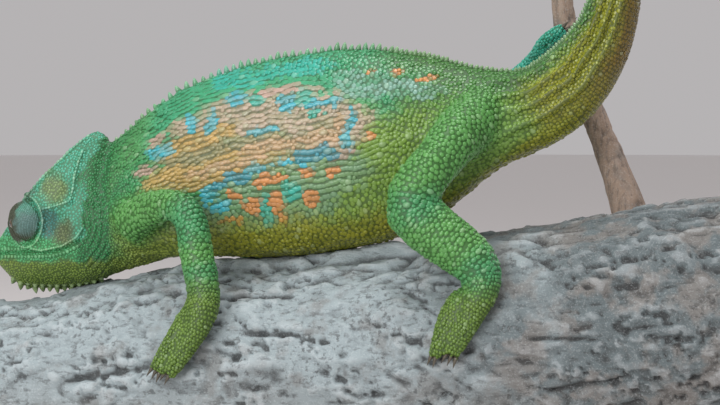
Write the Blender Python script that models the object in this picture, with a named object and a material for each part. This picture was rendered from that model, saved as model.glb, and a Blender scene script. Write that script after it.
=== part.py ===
"""A dwarf chameleon as a life-size museum model: it grips a cut length of branch and a side twig,
and the branch stands on two short rods above a flat base.

All sizes are in millimetres. X runs from snout to tail, Y to the animal's right, Z up, and the
origin is the centre of the base's underside. Each long piece of flesh is one loft, and its pieces
are consecutive stretches of that loft, so their flat ends face each other across a thin gap.
"""

import math

import bmesh
import bpy
from mathutils import Matrix, Vector

MM = 0.001
GAP = 0.3  # clear space between two pieces that meet
SMALL_GAP = 0.12  # the same, round an eye
NEARBY = 0.01  # a loft's direction is taken over this share of its length, both ways

# ---------------------------------------------------------------- spine
# Stations from nape to tail: x, z, half height across the spine, half width.
SPINE = [
    (-43.5, 72.9, 10.7, 5.0),
    (-39.5, 73.8, 10.3, 5.1),
    (-33.5, 75.9, 11.0, 5.9),
    (-25.5, 79.1, 13.7, 7.2),
    (-17.4, 80.9, 15.2, 8.4),
    (-9.5, 82.2, 15.8, 9.1),
    (-1.6, 83.3, 15.6, 9.1),
    (6.2, 84.7, 14.5, 8.4),
    (14.0, 86.6, 11.2, 7.2),
    (20.5, 87.9, 7.9, 6.1),
    (27.0, 89.4, 6.7, 5.6),
    (32.3, 93.1, 6.3, 5.3),
    (36.0, 97.8, 5.5, 4.8),
    (38.2, 102.4, 4.8, 4.3),
    (39.3, 107.5, 4.2, 3.8),
]
NAPE_X = -39.1  # the head ends here and the neck begins
NAPE_BLOCK = 40.0  # side of the cube that takes off the neck's front end
NAPE_BLOCK_Z = 75.0
COIL_START = (39.7, 113.0)
COIL_RADIUS = 9.0
COIL_SHRINK = 0.155  # natural-log loss of radius for each radian turned
COIL_TURNS = 1.3
COIL_HALF = 3.6  # half thickness where the coil begins
TAIL_TIP_HALF = 0.55
TAIL_TAPER = 0.8  # under 1, so that the coil thins faster near its start
TAIL_FLATNESS = 0.9  # width of the coiled tail as a share of its height

# Each piece of the spine ends at this station, counted from the nape on into the coil.
SPINE_PIECES = {
    "neck": 2,
    "chest": 4.5,
    "belly": 7.5,
    "hips": 10,
    "tail_1": 13,
    "tail_2": 15,
    "tail_3": 18.5,
    "tail_4": 22.5,
    "tail_5": 28,
}
COIL_STATIONS = 14
RINGS_PER_STATION = 4
EGG_POWER = 1.12  # over 1 flattens the trunk's sides towards its ridge
EGG_TAPER = 0.24  # how much narrower the back is than the belly
EGG_ENDS = (9, 11)  # between these stations the trunk's egg turns into the tail's ellipse
CREST_SPACING = {"neck": 1.6, "chest": 1.65, "belly": 1.6, "hips": 1.3}
CREST_RADIUS = 0.48
CREST_HEIGHT = 0.65
CONE_SIDES = 4
CONE_FOOT = 1.3  # radius of a pointed scale's sunken foot, as a share of its radius at the skin
CONE_TIP = 0.2

# ---------------------------------------------------------------- head
SNOUT_X = -60.7
MOUTH_Z = 65.8
MOUTH_RISE = 0.12  # slope of the mouth line, up towards the neck
HEAD_LENGTH = NAPE_X - SNOUT_X

# Each curve gives a share of HEAD_LENGTH behind the snout tip, then the value there: heights are
# over the mouth line, and widths are from the mid plane.
CROWN_UP = [
    (0, 1.2), (0.1, 3.0), (0.22, 5.7), (0.33, 9.6), (0.45, 12.7),
    (0.65, 16.8), (0.78, 19.6), (0.87, 20.3), (1, 18.2),
]
CREST_OUT = [
    (0, 0.6), (0.1, 1.5), (0.22, 2.9), (0.34, 4.0), (0.5, 4.2),
    (0.66, 3.2), (0.8, 1.9), (0.9, 1.3), (1, 1.9),
]
CREST_UP = [
    (0, 1.0), (0.1, 2.6), (0.22, 6.0), (0.34, 9.0), (0.5, 12.2),
    (0.66, 15.8), (0.8, 18.8), (0.9, 19.0), (1, 16.6),
]
CHEEK_OUT = [(0, 0.8), (0.1, 1.9), (0.22, 3.0), (0.34, 4.0), (0.5, 4.9), (0.66, 5.3), (0.8, 5.2), (1, 4.8)]
LIP_OUT = [(0, 0.9), (0.1, 2.3), (0.22, 3.3), (0.45, 4.9), (0.65, 5.8), (0.8, 5.9), (1, 5.3)]
THROAT_OUT = [(0, 0.5), (0.1, 1.5), (0.22, 2.6), (0.45, 3.3), (0.8, 3.8), (1, 4.0)]
THROAT_DOWN = [
    (0, 0.6), (0.09, 1.3), (0.18, 3.4), (0.27, 4.6),
    (0.52, 4.8), (0.75, 4.4), (0.87, 3.6), (1, 2.6),
]
CHEEK_LEVEL = 0.5  # height of the cheek as a share of the crest's
THROAT_LEVEL = 0.6  # depth of the throat's widest place as a share of its own depth
HEAD_RINGS = 17
HEAD_RING_EASE = 1.15  # over 1 sets the rings closer together at the snout
HEAD_SIDES = 20

TURRET_CENTRE = (-52.9, 3.1, 71.7)
TURRET_RADII = (2.9, 3.2, 3.5)
TURRET_FLOOR = 1.5  # distance of the turret's flat inner side from the mid plane
TURRET_SEGMENTS, TURRET_RINGS = 12, 7
GAZE = (-0.74, 0.66, -0.12)  # the way the right eye looks
EYE_RADIUS = 1.2
EYE_DEPTH = 0.8  # how far the eyeball's centre lies inside the turret's surface
EYE_SEGMENTS, EYE_RINGS = 10, 6

GULAR_TEETH = 12
GULAR_SPAN = (0.2, 0.86)  # shares of HEAD_LENGTH
GULAR_RADIUS = 0.5
GULAR_HEIGHT = 0.7
GULAR_LEAN = 0.25  # the first points lean forward by this slope, and the last ones back

# ---------------------------------------------------------------- legs
# Stations of a right leg: x, y, z, half thickness, half width along the branch.
FRONT_LEG = [
    (-35.5, 4.4, 71.8, 3.9, 3.6),
    (-30.6, 8.8, 74.3, 2.7, 2.6),
    (-26.4, 11.6, 75.0, 2.4, 2.5),
    (-23.6, 12.9, 72.8, 2.5, 2.6),
    (-22.5, 14.2, 68.2, 2.5, 2.6),
    (-20.9, 15.8, 62.6, 2.5, 2.6),
    (-20.9, 17.4, 59.0, 2.1, 2.5),
    (-22.0, 18.4, 55.6, 1.6, 1.7),
    (-24.0, 19.0, 52.4, 1.35, 1.45),
    (-25.7, 19.2, 50.1, 0.9, 1.2),
]
FRONT_INNER_TOES = [
    (-22.4, 16.6, 59.4, 1.7, 1.8),
    (-24.2, 17.7, 56.4, 1.6, 1.6),
    (-26.0, 18.5, 53.2, 1.4, 1.5),
    (-27.5, 18.9, 50.6, 0.9, 1.3),
]
HIND_LEG = [
    (19.6, 3.2, 88.2, 5.0, 3.8),
    (16.6, 8.4, 85.9, 4.3, 3.9),
    (14.2, 12.0, 82.4, 3.8, 3.6),
    (11.3, 14.0, 78.6, 3.6, 3.8),
    (10.3, 14.8, 74.6, 3.7, 4.2),
    (15.4, 15.6, 70.6, 3.4, 4.0),
    (19.8, 16.0, 67.2, 3.1, 3.6),
    (21.0, 16.8, 64.0, 2.6, 2.8),
    (20.0, 17.9, 60.8, 2.0, 2.1),
    (18.2, 18.8, 57.0, 1.5, 1.6),
    (16.7, 19.2, 53.8, 0.9, 1.15),
]
HIND_INNER_TOES = [
    (18.4, 16.8, 62.4, 1.8, 2.0),
    (16.4, 17.9, 59.6, 1.5, 1.8),
    (15.2, 18.6, 56.3, 1.3, 1.45),
    (14.1, 19.0, 53.6, 0.8, 1.0),
]
RAISED_LEG = [
    (18.6, 3.2, 88.4, 4.8, 3.8),
    (17.6, 8.4, 87.4, 4.1, 3.8),
    (16.4, 12.6, 86.5, 3.3, 3.4),
    (15.8, 16.2, 86.9, 2.8, 3.0),
    (17.5, 18.6, 89.3, 2.5, 2.7),
    (20.9, 19.4, 92.3, 2.3, 2.4),
    (23.9, 19.3, 95.0, 2.1, 2.2),
    (26.1, 19.0, 97.3, 1.9, 2.1),
    (28.0, 18.9, 99.2, 1.6, 1.8),
    (29.9, 18.8, 101.0, 1.4, 1.7),
    (31.9, 17.8, 102.7, 0.9, 1.3),
]
RAISED_INNER_TOES = [
    (25.7, 17.6, 97.0, 1.7, 1.7),
    (26.9, 14.4, 99.0, 1.5, 1.5),
    (28.5, 11.9, 100.6, 1.3, 1.5),
    (30.7, 11.2, 102.2, 0.8, 1.1),
]
# The stations at which a leg's elbow or knee, and its wrist or ankle, divide it.
FRONT_CUTS = (3, 5)
HIND_CUTS = (4, 6.5)
RAISED_CUTS = (3, 6.5)
FRONT_TOES = (2, 3)  # toes in the outer and the inner bundle
HIND_TOES = (3, 2)
BODY_SIDES = 16
LEG_SIDES = 12
TOE_SIDES = 10
FRONT_OFFSET = 1.5  # the right front foot holds on this much further back than the left
CLAW_LENGTH = 1.1
CLAW_RADIUS = 0.28
CLAW_SIDES = 7
CLAW_TIP = 0.25  # a claw's tip radius as a share of its root's
CLAW_SPLAY = 0.15
CLAW_SPACING = 0.78
CLAW_ROOT = 0.25  # how far the root stands off the bundle's end

# ---------------------------------------------------------------- perch and stand
# Branch axis: x, y, z, radius.
BRANCH = [
    (-61.0, 0.4, 41.2, 17.3),
    (-48.0, -0.3, 41.9, 17.4),
    (-36.0, -0.2, 43.8, 17.7),
    (-24.0, 0.2, 46.0, 18.0),
    (-10.0, 0.3, 47.3, 17.9),
    (6.0, 0.0, 49.8, 17.8),
    (20.0, -0.3, 52.4, 17.7),
    (36.0, 0.0, 55.0, 18.0),
    (48.0, 0.4, 56.9, 18.5),
    (61.0, 0.5, 58.6, 18.0),
]
# Twig axis: x, y, z, radius.
TWIG = [
    (42.5, 8.0, 68.0, 3.4),
    (40.2, 10.4, 76.0, 2.7),
    (36.6, 13.0, 85.0, 2.2),
    (32.6, 14.9, 95.0, 2.0),
    (30.4, 15.4, 103.0, 1.9),
    (29.4, 15.5, 113.0, 1.75),
]
BASE_SIZE = (130.0, 76.0, 8.0)
BASE_CORNER = 10.0
BASE_BEVEL = 1.5
ROD_X = {"front": -30.0, "rear": 30.0}
ROD_RADIUS = 2.5
COLLAR_RADIUS = 6.0
COLLAR_HEIGHT = 3.0
ROD_REACH = 35.0  # a rod is made too long, then cut to the branch's underside
BRANCH_SIDES = 18
TWIG_SIDES = 8
ROD_SIDES = 20
CORNER_STEPS = 6
BEVEL_STEPS = 2

# Colour, roughness, metallic.
FINISHES = {
    "back_skin": ((0.09, 0.38, 0.12), 0.5, 0),
    "belly_skin": ((0.25, 0.3, 0.04), 0.5, 0),
    "head_skin": ((0.09, 0.34, 0.2), 0.5, 0),
    "limb_skin": ((0.12, 0.42, 0.1), 0.5, 0),
    "turret_skin": ((0.13, 0.22, 0.25), 0.5, 0),
    "eye": ((0.02, 0.02, 0.02), 0.1, 0),
    "claw": ((0.16, 0.13, 0.09), 0.35, 0),
    "bark": ((0.3, 0.28, 0.25), 0.9, 0),
    "base_wood": ((0.1, 0.05, 0.025), 0.4, 0),
    "rod_steel": ((0.55, 0.55, 0.55), 0.3, 1),
}


# ---------------------------------------------------------------- scene helpers
def new_collection(name):
    made = bpy.data.collections.new(name)
    bpy.context.scene.collection.children.link(made)
    return made


def make_material(name):
    colour, roughness, metallic = FINISHES[name]
    made = bpy.data.materials.new(name)
    made.use_nodes = True
    shader = made.node_tree.nodes["Principled BSDF"]
    shader.inputs["Base Color"].default_value = (*colour, 1.0)
    shader.inputs["Roughness"].default_value = roughness
    shader.inputs["Metallic"].default_value = metallic
    return made


def new_object(name, bm, finish):
    """Turns a bmesh in millimetres into a shaded object in metres."""
    bmesh.ops.recalc_face_normals(bm, faces=bm.faces)
    bmesh.ops.scale(bm, vec=(MM, MM, MM), verts=bm.verts)
    mesh = bpy.data.meshes.new(name)
    bm.to_mesh(mesh)
    bm.free()
    mesh.materials.append(MATERIALS[finish])
    mesh.shade_smooth()
    mesh.set_sharp_from_angle(angle=math.radians(50))
    obj = bpy.data.objects.new(name, mesh)
    MODEL.objects.link(obj)
    return obj


def as_cutter(obj):
    """Keeps an object only as a hidden tool."""
    MODEL.objects.unlink(obj)
    CUTTERS.objects.link(obj)
    obj.hide_render = True
    obj.display_type = "WIRE"
    return obj


def boolean(obj, other, operation="DIFFERENCE"):
    modifier = obj.modifiers.new(other.name, "BOOLEAN")
    modifier.operation = operation
    modifier.object = other
    return obj


def grown(obj, by=GAP):
    """A hidden copy of an object whose surface stands out by this many millimetres."""
    cutter = obj.copy()
    cutter.data = obj.data.copy()
    cutter.name = obj.name + "_grown"
    cutter.modifiers.clear()
    MODEL.objects.link(cutter)
    bm = bmesh.new()
    bm.from_mesh(cutter.data)
    bm.normal_update()
    moves = [(vert, vert.normal * by * MM) for vert in bm.verts]
    for vert, move in moves:
        vert.co += move
    bm.to_mesh(cutter.data)
    bm.free()
    return as_cutter(cutter)


# ---------------------------------------------------------------- curves and lofts
def eased(points, share):
    """Catmull-Rom value at a share, 0 to 1, of a list of tuples."""
    place = share * (len(points) - 1)
    i = min(int(place), len(points) - 2)
    t = place - i
    near = (points[max(0, min(len(points) - 1, k))] for k in range(i - 1, i + 3))
    return tuple(
        b + 0.5 * t * (c - a + t * (2 * a - 5 * b + 4 * c - d + t * (3 * b - a - 3 * c + d)))
        for a, b, c, d in zip(*near)
    )


def slope_at(curve, i):
    """Slope of a curve of (share, value) pairs at its point i."""
    before, after = curve[max(0, i - 1)], curve[min(len(curve) - 1, i + 1)]
    return (after[1] - before[1]) / (after[0] - before[0])


def value_at(curve, share):
    """Smooth value of a curve of (share, value) pairs."""
    i = max(k for k in range(len(curve) - 1) if k == 0 or curve[k][0] <= share)
    (start, a), (end, b) = curve[i], curve[i + 1]
    span = end - start
    t = (share - start) / span
    rise = (3 - 2 * t) * t * t
    lead = slope_at(curve, i) * span * t * (1 - t) ** 2
    return a + (b - a) * rise + lead - slope_at(curve, i + 1) * span * t * t * (1 - t)


def ellipse(angle):
    return math.sin(angle), math.cos(angle)


def trunk_section(angle):
    """An egg with its point up: a narrow back and a fuller belly."""
    side, up = ellipse(angle)
    return math.copysign(abs(side) ** EGG_POWER, side) * (1 - EGG_TAPER * up), up


def loft_rings(stations, sides, section=ellipse, across=(0, 1, 0)):
    """Rings along stations of x, y, z, half height and half width. Point 0 of a ring is its top."""
    rings = []
    last = (len(stations) - 1) * RINGS_PER_STATION
    for i in range(last + 1):
        share = i / last
        sample = eased(stations, share)
        centre = Vector(sample[:3])
        ahead = Vector(eased(stations, min(1, share + NEARBY))[:3])
        behind = Vector(eased(stations, max(0, share - NEARBY))[:3])
        along = (ahead - behind).normalized()
        side = (Vector(across) - along * along.dot(across)).normalized()
        up = along.cross(side)
        points = (section(2 * math.pi * k / sides) for k in range(sides))
        ring = [centre + side * s * sample[4] + up * u * sample[3] for s, u in points]
        rings.append((centre, along, ring))
    return rings


def skin_rings(name, rings, finish, first_trim=0.0, last_trim=0.0):
    """A closed body over rings, with its first and last ring drawn in along their own axes."""
    loops = [[point.copy() for point in ring] for _, _, ring in rings]
    loops[0] = [point + rings[0][1] * first_trim for point in loops[0]]
    loops[-1] = [point - rings[-1][1] * last_trim for point in loops[-1]]
    bm = bmesh.new()
    verts = [[bm.verts.new(point) for point in loop] for loop in loops]
    count = len(verts[0])
    for first, second in zip(verts, verts[1:]):
        for i in range(count):
            j = (i + 1) % count
            bm.faces.new((first[i], first[j], second[j], second[i]))
    bm.faces.new(verts[0])
    bm.faces.new(verts[-1])
    return new_object(name, bm, finish)


def add_cones(obj, name, finish, roots, radius, height):
    """Joins pointed scales to an object. Each root is a point on its surface and a direction."""
    bm = bmesh.new()
    for root, direction in roots:
        turn = Vector((0, 0, 1)).rotation_difference(direction).to_matrix().to_4x4()
        depth = height + radius
        bmesh.ops.create_cone(
            bm,
            cap_ends=True,
            segments=CONE_SIDES,
            radius1=radius * CONE_FOOT,
            radius2=radius * CONE_TIP,
            depth=depth,
            matrix=Matrix.Translation(root + direction * (height - depth / 2)) @ turn,
        )
    return boolean(obj, as_cutter(new_object(name, bm, finish)), "UNION")


# ---------------------------------------------------------------- neck, trunk and tail
def spine_stations():
    """Neck, trunk and rising tail from the table, then the coil that curls over and in."""
    stations = [(x, 0, z, up, out) for x, z, up, out in SPINE]
    for i in range(COIL_STATIONS):
        share = i / (COIL_STATIONS - 1)
        turned = 2 * math.pi * COIL_TURNS * share
        radius = COIL_RADIUS * math.exp(-COIL_SHRINK * turned)
        half = COIL_HALF + (TAIL_TIP_HALF - COIL_HALF) * share**TAIL_TAPER
        x = COIL_START[0] + COIL_RADIUS - radius * math.cos(turned)
        z = COIL_START[1] + radius * math.sin(turned)
        stations.append((x, 0, z, half, half * TAIL_FLATNESS))
    return stations


def body_rings():
    """Rings of the whole spine. The trunk's egg becomes the tail's ellipse behind the hips."""
    rings = loft_rings(spine_stations(), BODY_SIDES, trunk_section)
    start, end = EGG_ENDS
    for i, (_, _, ring) in enumerate(loft_rings(spine_stations(), BODY_SIDES)):
        share = max(0, min(1, (i / RINGS_PER_STATION - start) / (end - start)))
        for k, point in enumerate(ring):
            rings[i][2][k] = rings[i][2][k].lerp(point, share)
    return rings


def stretch_of(rings, first, last):
    """The rings from one station to another, with every second one of those between left out."""
    start, end = round(first * RINGS_PER_STATION), round(last * RINGS_PER_STATION)
    return rings[start:end:2] + [rings[end]]


def crest_roots(rings, spacing):
    """Evenly spaced places along the top of a stretch of rings, half a space in from its ends."""
    tops = [(ring[0], (ring[0] - centre).normalized()) for centre, _, ring in rings]
    lengths = [(b[0] - a[0]).length for a, b in zip(tops, tops[1:])]
    count = round(sum(lengths) / spacing)
    roots = []
    for k in range(count):
        wanted = (k + 0.5) / count * sum(lengths)
        i = 0
        while wanted > lengths[i]:
            wanted -= lengths[i]
            i += 1
        share = wanted / lengths[i]
        roots.append((tops[i][0].lerp(tops[i + 1][0], share), tops[i][1].lerp(tops[i + 1][1], share)))
    return [(root, direction) for root, direction in roots if root.x > NAPE_X + spacing / 2]


def make_spine():
    rings = body_rings()
    first = 0
    for name, last in SPINE_PIECES.items():
        stretch = stretch_of(rings, first, last)
        finish = "back_skin" if name in CREST_SPACING else "belly_skin"
        trim = 0 if name == "tail_5" else GAP / 2
        piece = skin_rings(name, stretch, finish, GAP / 2, trim)
        if name == "neck":
            boolean(piece, nape_block())
        if name in CREST_SPACING:
            roots = crest_roots(stretch, CREST_SPACING[name])
            add_cones(piece, name + "_crest", finish, roots, CREST_RADIUS, CREST_HEIGHT)
        first = last
    whole = skin_rings("trunk_whole", stretch_of(rings, 0, EGG_ENDS[1]), "back_skin")
    return grown(as_cutter(whole))


def nape_block():
    """Takes off the part of the neck that the head fills."""
    bm = bmesh.new()
    centre = (NAPE_X + GAP / 2 - NAPE_BLOCK / 2, 0, NAPE_BLOCK_Z)
    bmesh.ops.create_cube(bm, size=NAPE_BLOCK, matrix=Matrix.Translation(centre))
    return as_cutter(new_object("nape_block", bm, "head_skin"))


# ---------------------------------------------------------------- head
def head_section(share):
    """Right half of the head's outline at a share of its length, crown to throat, as (out, up)."""
    crest_up = value_at(CREST_UP, share)
    depth = value_at(THROAT_DOWN, share)
    return [
        (0, value_at(CROWN_UP, share)),
        (value_at(CREST_OUT, share), crest_up),
        (value_at(CHEEK_OUT, share), crest_up * CHEEK_LEVEL),
        (value_at(LIP_OUT, share), MOUTH_RISE * HEAD_LENGTH * share),
        (value_at(THROAT_OUT, share), -depth * THROAT_LEVEL),
        (0, -depth),
    ]


def head_ring(share):
    half = head_section(share)
    whole = half + [(-out, up) for out, up in half[-2:0:-1]] + [half[0]]
    x = SNOUT_X + HEAD_LENGTH * share
    ring = [eased(whole, k / HEAD_SIDES) for k in range(HEAD_SIDES)]
    return Vector((x, 0, MOUTH_Z)), Vector((1, 0, 0)), [Vector((x, out, MOUTH_Z + up)) for out, up in ring]


def make_head():
    shares = [(i / (HEAD_RINGS - 1)) ** HEAD_RING_EASE for i in range(HEAD_RINGS)]
    rings = [head_ring(share) for share in shares]
    for name, above in (("head", True), ("lower_jaw", False)):
        piece = skin_rings(name, rings, "head_skin", last_trim=GAP / 2)
        cut_at_mouth(piece, above)
        if above:
            for side in (1, -1):
                boolean(piece, turret_ball("socket", side, GAP, TURRET_FLOOR - GAP))
        else:
            add_cones(piece, "gular_crest", "head_skin", gular_roots(), GULAR_RADIUS, GULAR_HEIGHT)


def cut_at_mouth(obj, above):
    """Keeps the part of the head above or below the mouth line, and closes the cut."""
    sign = 1 if above else -1
    normal = Vector((-MOUTH_RISE, 0, 1)).normalized()
    bm = bmesh.new()
    bm.from_mesh(obj.data)
    bmesh.ops.bisect_plane(
        bm,
        geom=bm.verts[:] + bm.edges[:] + bm.faces[:],
        plane_co=(Vector((SNOUT_X, 0, MOUTH_Z)) + normal * sign * GAP / 2) * MM,
        plane_no=normal,
        clear_inner=above,
        clear_outer=not above,
    )
    bmesh.ops.holes_fill(bm, edges=[edge for edge in bm.edges if edge.is_boundary], sides=0)
    bmesh.ops.recalc_face_normals(bm, faces=bm.faces)
    bm.to_mesh(obj.data)
    bm.free()


def gular_roots():
    """Places of the pointed scales under the chin, each with the way it points."""
    first, last = GULAR_SPAN
    roots = []
    for k in range(GULAR_TEETH):
        share = first + (last - first) * k / (GULAR_TEETH - 1)
        root = Vector((SNOUT_X + HEAD_LENGTH * share, 0, MOUTH_Z - value_at(THROAT_DOWN, share)))
        roots.append((root, Vector((-GULAR_LEAN * (1 - 2 * share), 0, -1)).normalized()))
    return roots


def turret_ball(name, side, margin, floor):
    """An egg round the eye's centre with a flat inner side, as a turret or as its socket's cutter."""
    scale = Matrix.Diagonal((*(radius + margin for radius in TURRET_RADII), 1))
    turn = Matrix.Rotation(math.pi / 2, 4, "X")
    bm = bmesh.new()
    matrix = Matrix.Translation(mirrored(Vector(TURRET_CENTRE), side)) @ scale @ turn
    bmesh.ops.create_uvsphere(
        bm, u_segments=TURRET_SEGMENTS, v_segments=TURRET_RINGS, radius=1, matrix=matrix
    )
    bmesh.ops.bisect_plane(
        bm,
        geom=bm.verts[:] + bm.edges[:] + bm.faces[:],
        plane_co=(0, floor * side, 0),
        plane_no=(0, -side, 0),
        clear_outer=True,
    )
    bmesh.ops.holes_fill(bm, edges=[edge for edge in bm.edges if edge.is_boundary], sides=0)
    ball = new_object(f"{name}_{side_name(side)}", bm, "turret_skin")
    return as_cutter(ball) if name == "socket" else ball


def make_eyes():
    for side in (1, -1):
        turret = turret_ball("turret", side, 0, TURRET_FLOOR)
        gaze = Vector(GAZE).normalized()
        surface = Vector(TURRET_CENTRE) + gaze / Vector(g / r for g, r in zip(gaze, TURRET_RADII)).length
        centre = mirrored(surface - gaze * EYE_DEPTH, side)
        for name, radius in (("eye", EYE_RADIUS), ("eye_socket", EYE_RADIUS + SMALL_GAP)):
            bm = bmesh.new()
            bmesh.ops.create_uvsphere(
                bm,
                u_segments=EYE_SEGMENTS,
                v_segments=EYE_RINGS,
                radius=radius,
                matrix=Matrix.Translation(centre),
            )
            ball = new_object(f"{name}_{side_name(side)}", bm, "eye")
            if name == "eye_socket":
                boolean(turret, as_cutter(ball))


# ---------------------------------------------------------------- legs
def side_name(side):
    return "right" if side > 0 else "left"


def mirrored(vector, side):
    return Vector((vector.x, vector.y * side, vector.z))


def placed(stations, side, offset):
    return [(x + offset, y * side, z, thick, wide) for x, y, z, thick, wide in stations]


def make_claws(name, rings, toes, first_number, keepers):
    """One claw at the end of each toe of a bundle, splayed a little from its neighbours."""
    centre, along, ring = rings[-1]
    across = (ring[len(ring) // 4] - centre).normalized()
    for k in range(toes):
        shift = across * (k - (toes - 1) / 2) * CLAW_SPACING
        direction = (along + shift * CLAW_SPLAY).normalized()
        turn = Vector((0, 0, 1)).rotation_difference(direction).to_matrix().to_4x4()
        middle = centre + shift + direction * (CLAW_ROOT + CLAW_LENGTH / 2)
        bm = bmesh.new()
        bmesh.ops.create_cone(
            bm,
            cap_ends=True,
            segments=CLAW_SIDES,
            radius1=CLAW_RADIUS,
            radius2=CLAW_RADIUS * CLAW_TIP,
            depth=CLAW_LENGTH,
            matrix=Matrix.Translation(middle) @ turn,
        )
        claw = new_object(f"{name}_claw_{first_number + k}", bm, "claw")
        for keeper in keepers:
            boolean(claw, keeper)


def make_leg(name, side, leg, inner, cuts, toes, keepers, offset=0.0):
    """Upper leg, lower leg and both bundles of toes, each clear of the keepers and of each other.

    The first keeper is the trunk, which the claws don't reach; the rest are the perch.
    """
    perches = keepers[1:]
    rings = loft_rings(placed(leg, side, offset), LEG_SIDES, across=(1, 0, 0))
    first = 0
    for part, last in zip(("upper", "lower", "outer_toes"), (*cuts, len(leg) - 1)):
        stretch = stretch_of(rings, first, last)
        trims = (0 if part == "upper" else GAP / 2, 0 if part == "outer_toes" else GAP / 2)
        piece = skin_rings(f"{name}_{part}", stretch, "limb_skin", *trims)
        around = grown(piece)
        for keeper in keepers:
            boolean(piece, keeper)
        keepers = (*keepers, around)
        first = last
    inner_rings = loft_rings(placed(inner, side, offset), TOE_SIDES, across=(1, 0, 0))
    stretch = stretch_of(inner_rings, 0, len(inner) - 1)
    bundle = skin_rings(f"{name}_inner_toes", stretch, "limb_skin")
    for keeper in keepers:
        boolean(bundle, keeper)
    make_claws(name, rings, toes[0], 1, perches)
    make_claws(name, inner_rings, toes[1], toes[0] + 1, perches)


# ---------------------------------------------------------------- perch and stand
def round_wood(name, axis, sides):
    """A bent round piece of wood along an axis of x, y, z and radius."""
    rings = loft_rings([(x, y, z, radius, radius) for x, y, z, radius in axis], sides)
    return skin_rings(name, stretch_of(rings, 0, len(axis) - 1), "bark")


def make_perch():
    branch = round_wood("perch_branch", BRANCH, BRANCH_SIDES)
    twig = round_wood("perch_twig", TWIG, TWIG_SIDES)
    around_branch = grown(branch)
    boolean(twig, around_branch)
    return around_branch, grown(twig)


def make_stand(around_branch):
    height = BASE_SIZE[2]
    bm = bmesh.new()
    matrix = Matrix.Translation((0, 0, height / 2)) @ Matrix.Diagonal((*BASE_SIZE, 1))
    bmesh.ops.create_cube(bm, size=1, matrix=matrix)
    upright = [edge for edge in bm.edges if abs(edge.verts[0].co.z - edge.verts[1].co.z) > 1]
    bmesh.ops.bevel(bm, geom=upright, offset=BASE_CORNER, segments=CORNER_STEPS, profile=0.5, affect="EDGES")
    rim = [edge for edge in bm.edges if all(vert.co.z > height - 0.01 for vert in edge.verts)]
    bmesh.ops.bevel(bm, geom=rim, offset=BASE_BEVEL, segments=BEVEL_STEPS, profile=0.5, affect="EDGES")
    new_object("stand_base", bm, "base_wood")
    for name, x in ROD_X.items():
        bottom = height + GAP
        rod = cylinder(f"stand_rod_{name}", x, ROD_RADIUS, bottom, bottom + ROD_REACH)
        collar = as_cutter(cylinder(f"collar_{name}", x, COLLAR_RADIUS, bottom, bottom + COLLAR_HEIGHT))
        boolean(boolean(rod, collar, "UNION"), around_branch)


def cylinder(name, x, radius, bottom, top):
    bm = bmesh.new()
    bmesh.ops.create_cone(
        bm,
        cap_ends=True,
        segments=ROD_SIDES,
        radius1=radius,
        radius2=radius,
        depth=top - bottom,
        matrix=Matrix.Translation((x, 0, (top + bottom) / 2)),
    )
    return new_object(name, bm, "rod_steel")


# ---------------------------------------------------------------- model
for old in list(bpy.data.objects):
    bpy.data.objects.remove(old)
MODEL = new_collection("Chameleon")
CUTTERS = new_collection("Cutters")
MATERIALS = {finish: make_material(finish) for finish in FINISHES}

around_branch, around_twig = make_perch()
make_stand(around_branch)
around_trunk = make_spine()
make_head()
make_eyes()
for side in (1, -1):
    keepers = (around_trunk, around_branch)
    offset = FRONT_OFFSET if side > 0 else 0
    name = f"front_{side_name(side)}"
    make_leg(name, side, FRONT_LEG, FRONT_INNER_TOES, FRONT_CUTS, FRONT_TOES, keepers, offset)
keepers = (around_trunk, around_branch)
make_leg("hind_left", -1, HIND_LEG, HIND_INNER_TOES, HIND_CUTS, HIND_TOES, keepers)
keepers = (around_trunk, around_twig)
make_leg("hind_right", 1, RAISED_LEG, RAISED_INNER_TOES, RAISED_CUTS, HIND_TOES, keepers)
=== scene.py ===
"""A dwarf chameleon, scale by scale, on its branch and museum stand.

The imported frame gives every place. Sizes below are in millimetres unless a name says otherwise, X
runs from snout to tail and Z is up. One skin takes the place of the flesh, and scales, spines, eyes
and claws stand on it.
"""

import functools
import itertools
import math
import random
from types import SimpleNamespace

import bmesh
import bpy
import numpy as np
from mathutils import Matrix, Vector, noise
from mathutils.bvhtree import BVHTree


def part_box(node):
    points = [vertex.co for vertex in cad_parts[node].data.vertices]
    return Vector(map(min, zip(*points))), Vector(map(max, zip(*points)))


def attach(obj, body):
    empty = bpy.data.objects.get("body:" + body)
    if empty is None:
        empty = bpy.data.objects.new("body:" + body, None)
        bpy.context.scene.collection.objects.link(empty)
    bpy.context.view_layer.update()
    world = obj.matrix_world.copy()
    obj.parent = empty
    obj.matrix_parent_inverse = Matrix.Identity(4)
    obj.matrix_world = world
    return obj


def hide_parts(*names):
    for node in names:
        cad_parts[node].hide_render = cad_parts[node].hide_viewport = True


bl_info = {
    "name": "Chameleon on a branch",
    "version": (1, 0, 0),
    "blender": (4, 5, 0),
    "location": "3D View > Sidebar > Chameleon",
    "description": "Builds a scaled dwarf chameleon, its perch, its stand and a studio",
    "category": "Object",
}

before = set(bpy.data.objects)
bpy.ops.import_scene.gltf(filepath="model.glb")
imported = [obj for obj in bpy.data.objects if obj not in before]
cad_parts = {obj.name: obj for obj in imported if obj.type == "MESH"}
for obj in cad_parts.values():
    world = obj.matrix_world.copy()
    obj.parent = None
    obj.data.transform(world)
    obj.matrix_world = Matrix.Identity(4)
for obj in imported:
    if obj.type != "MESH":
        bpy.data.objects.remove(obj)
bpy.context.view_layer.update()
MM = 0.001

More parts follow.
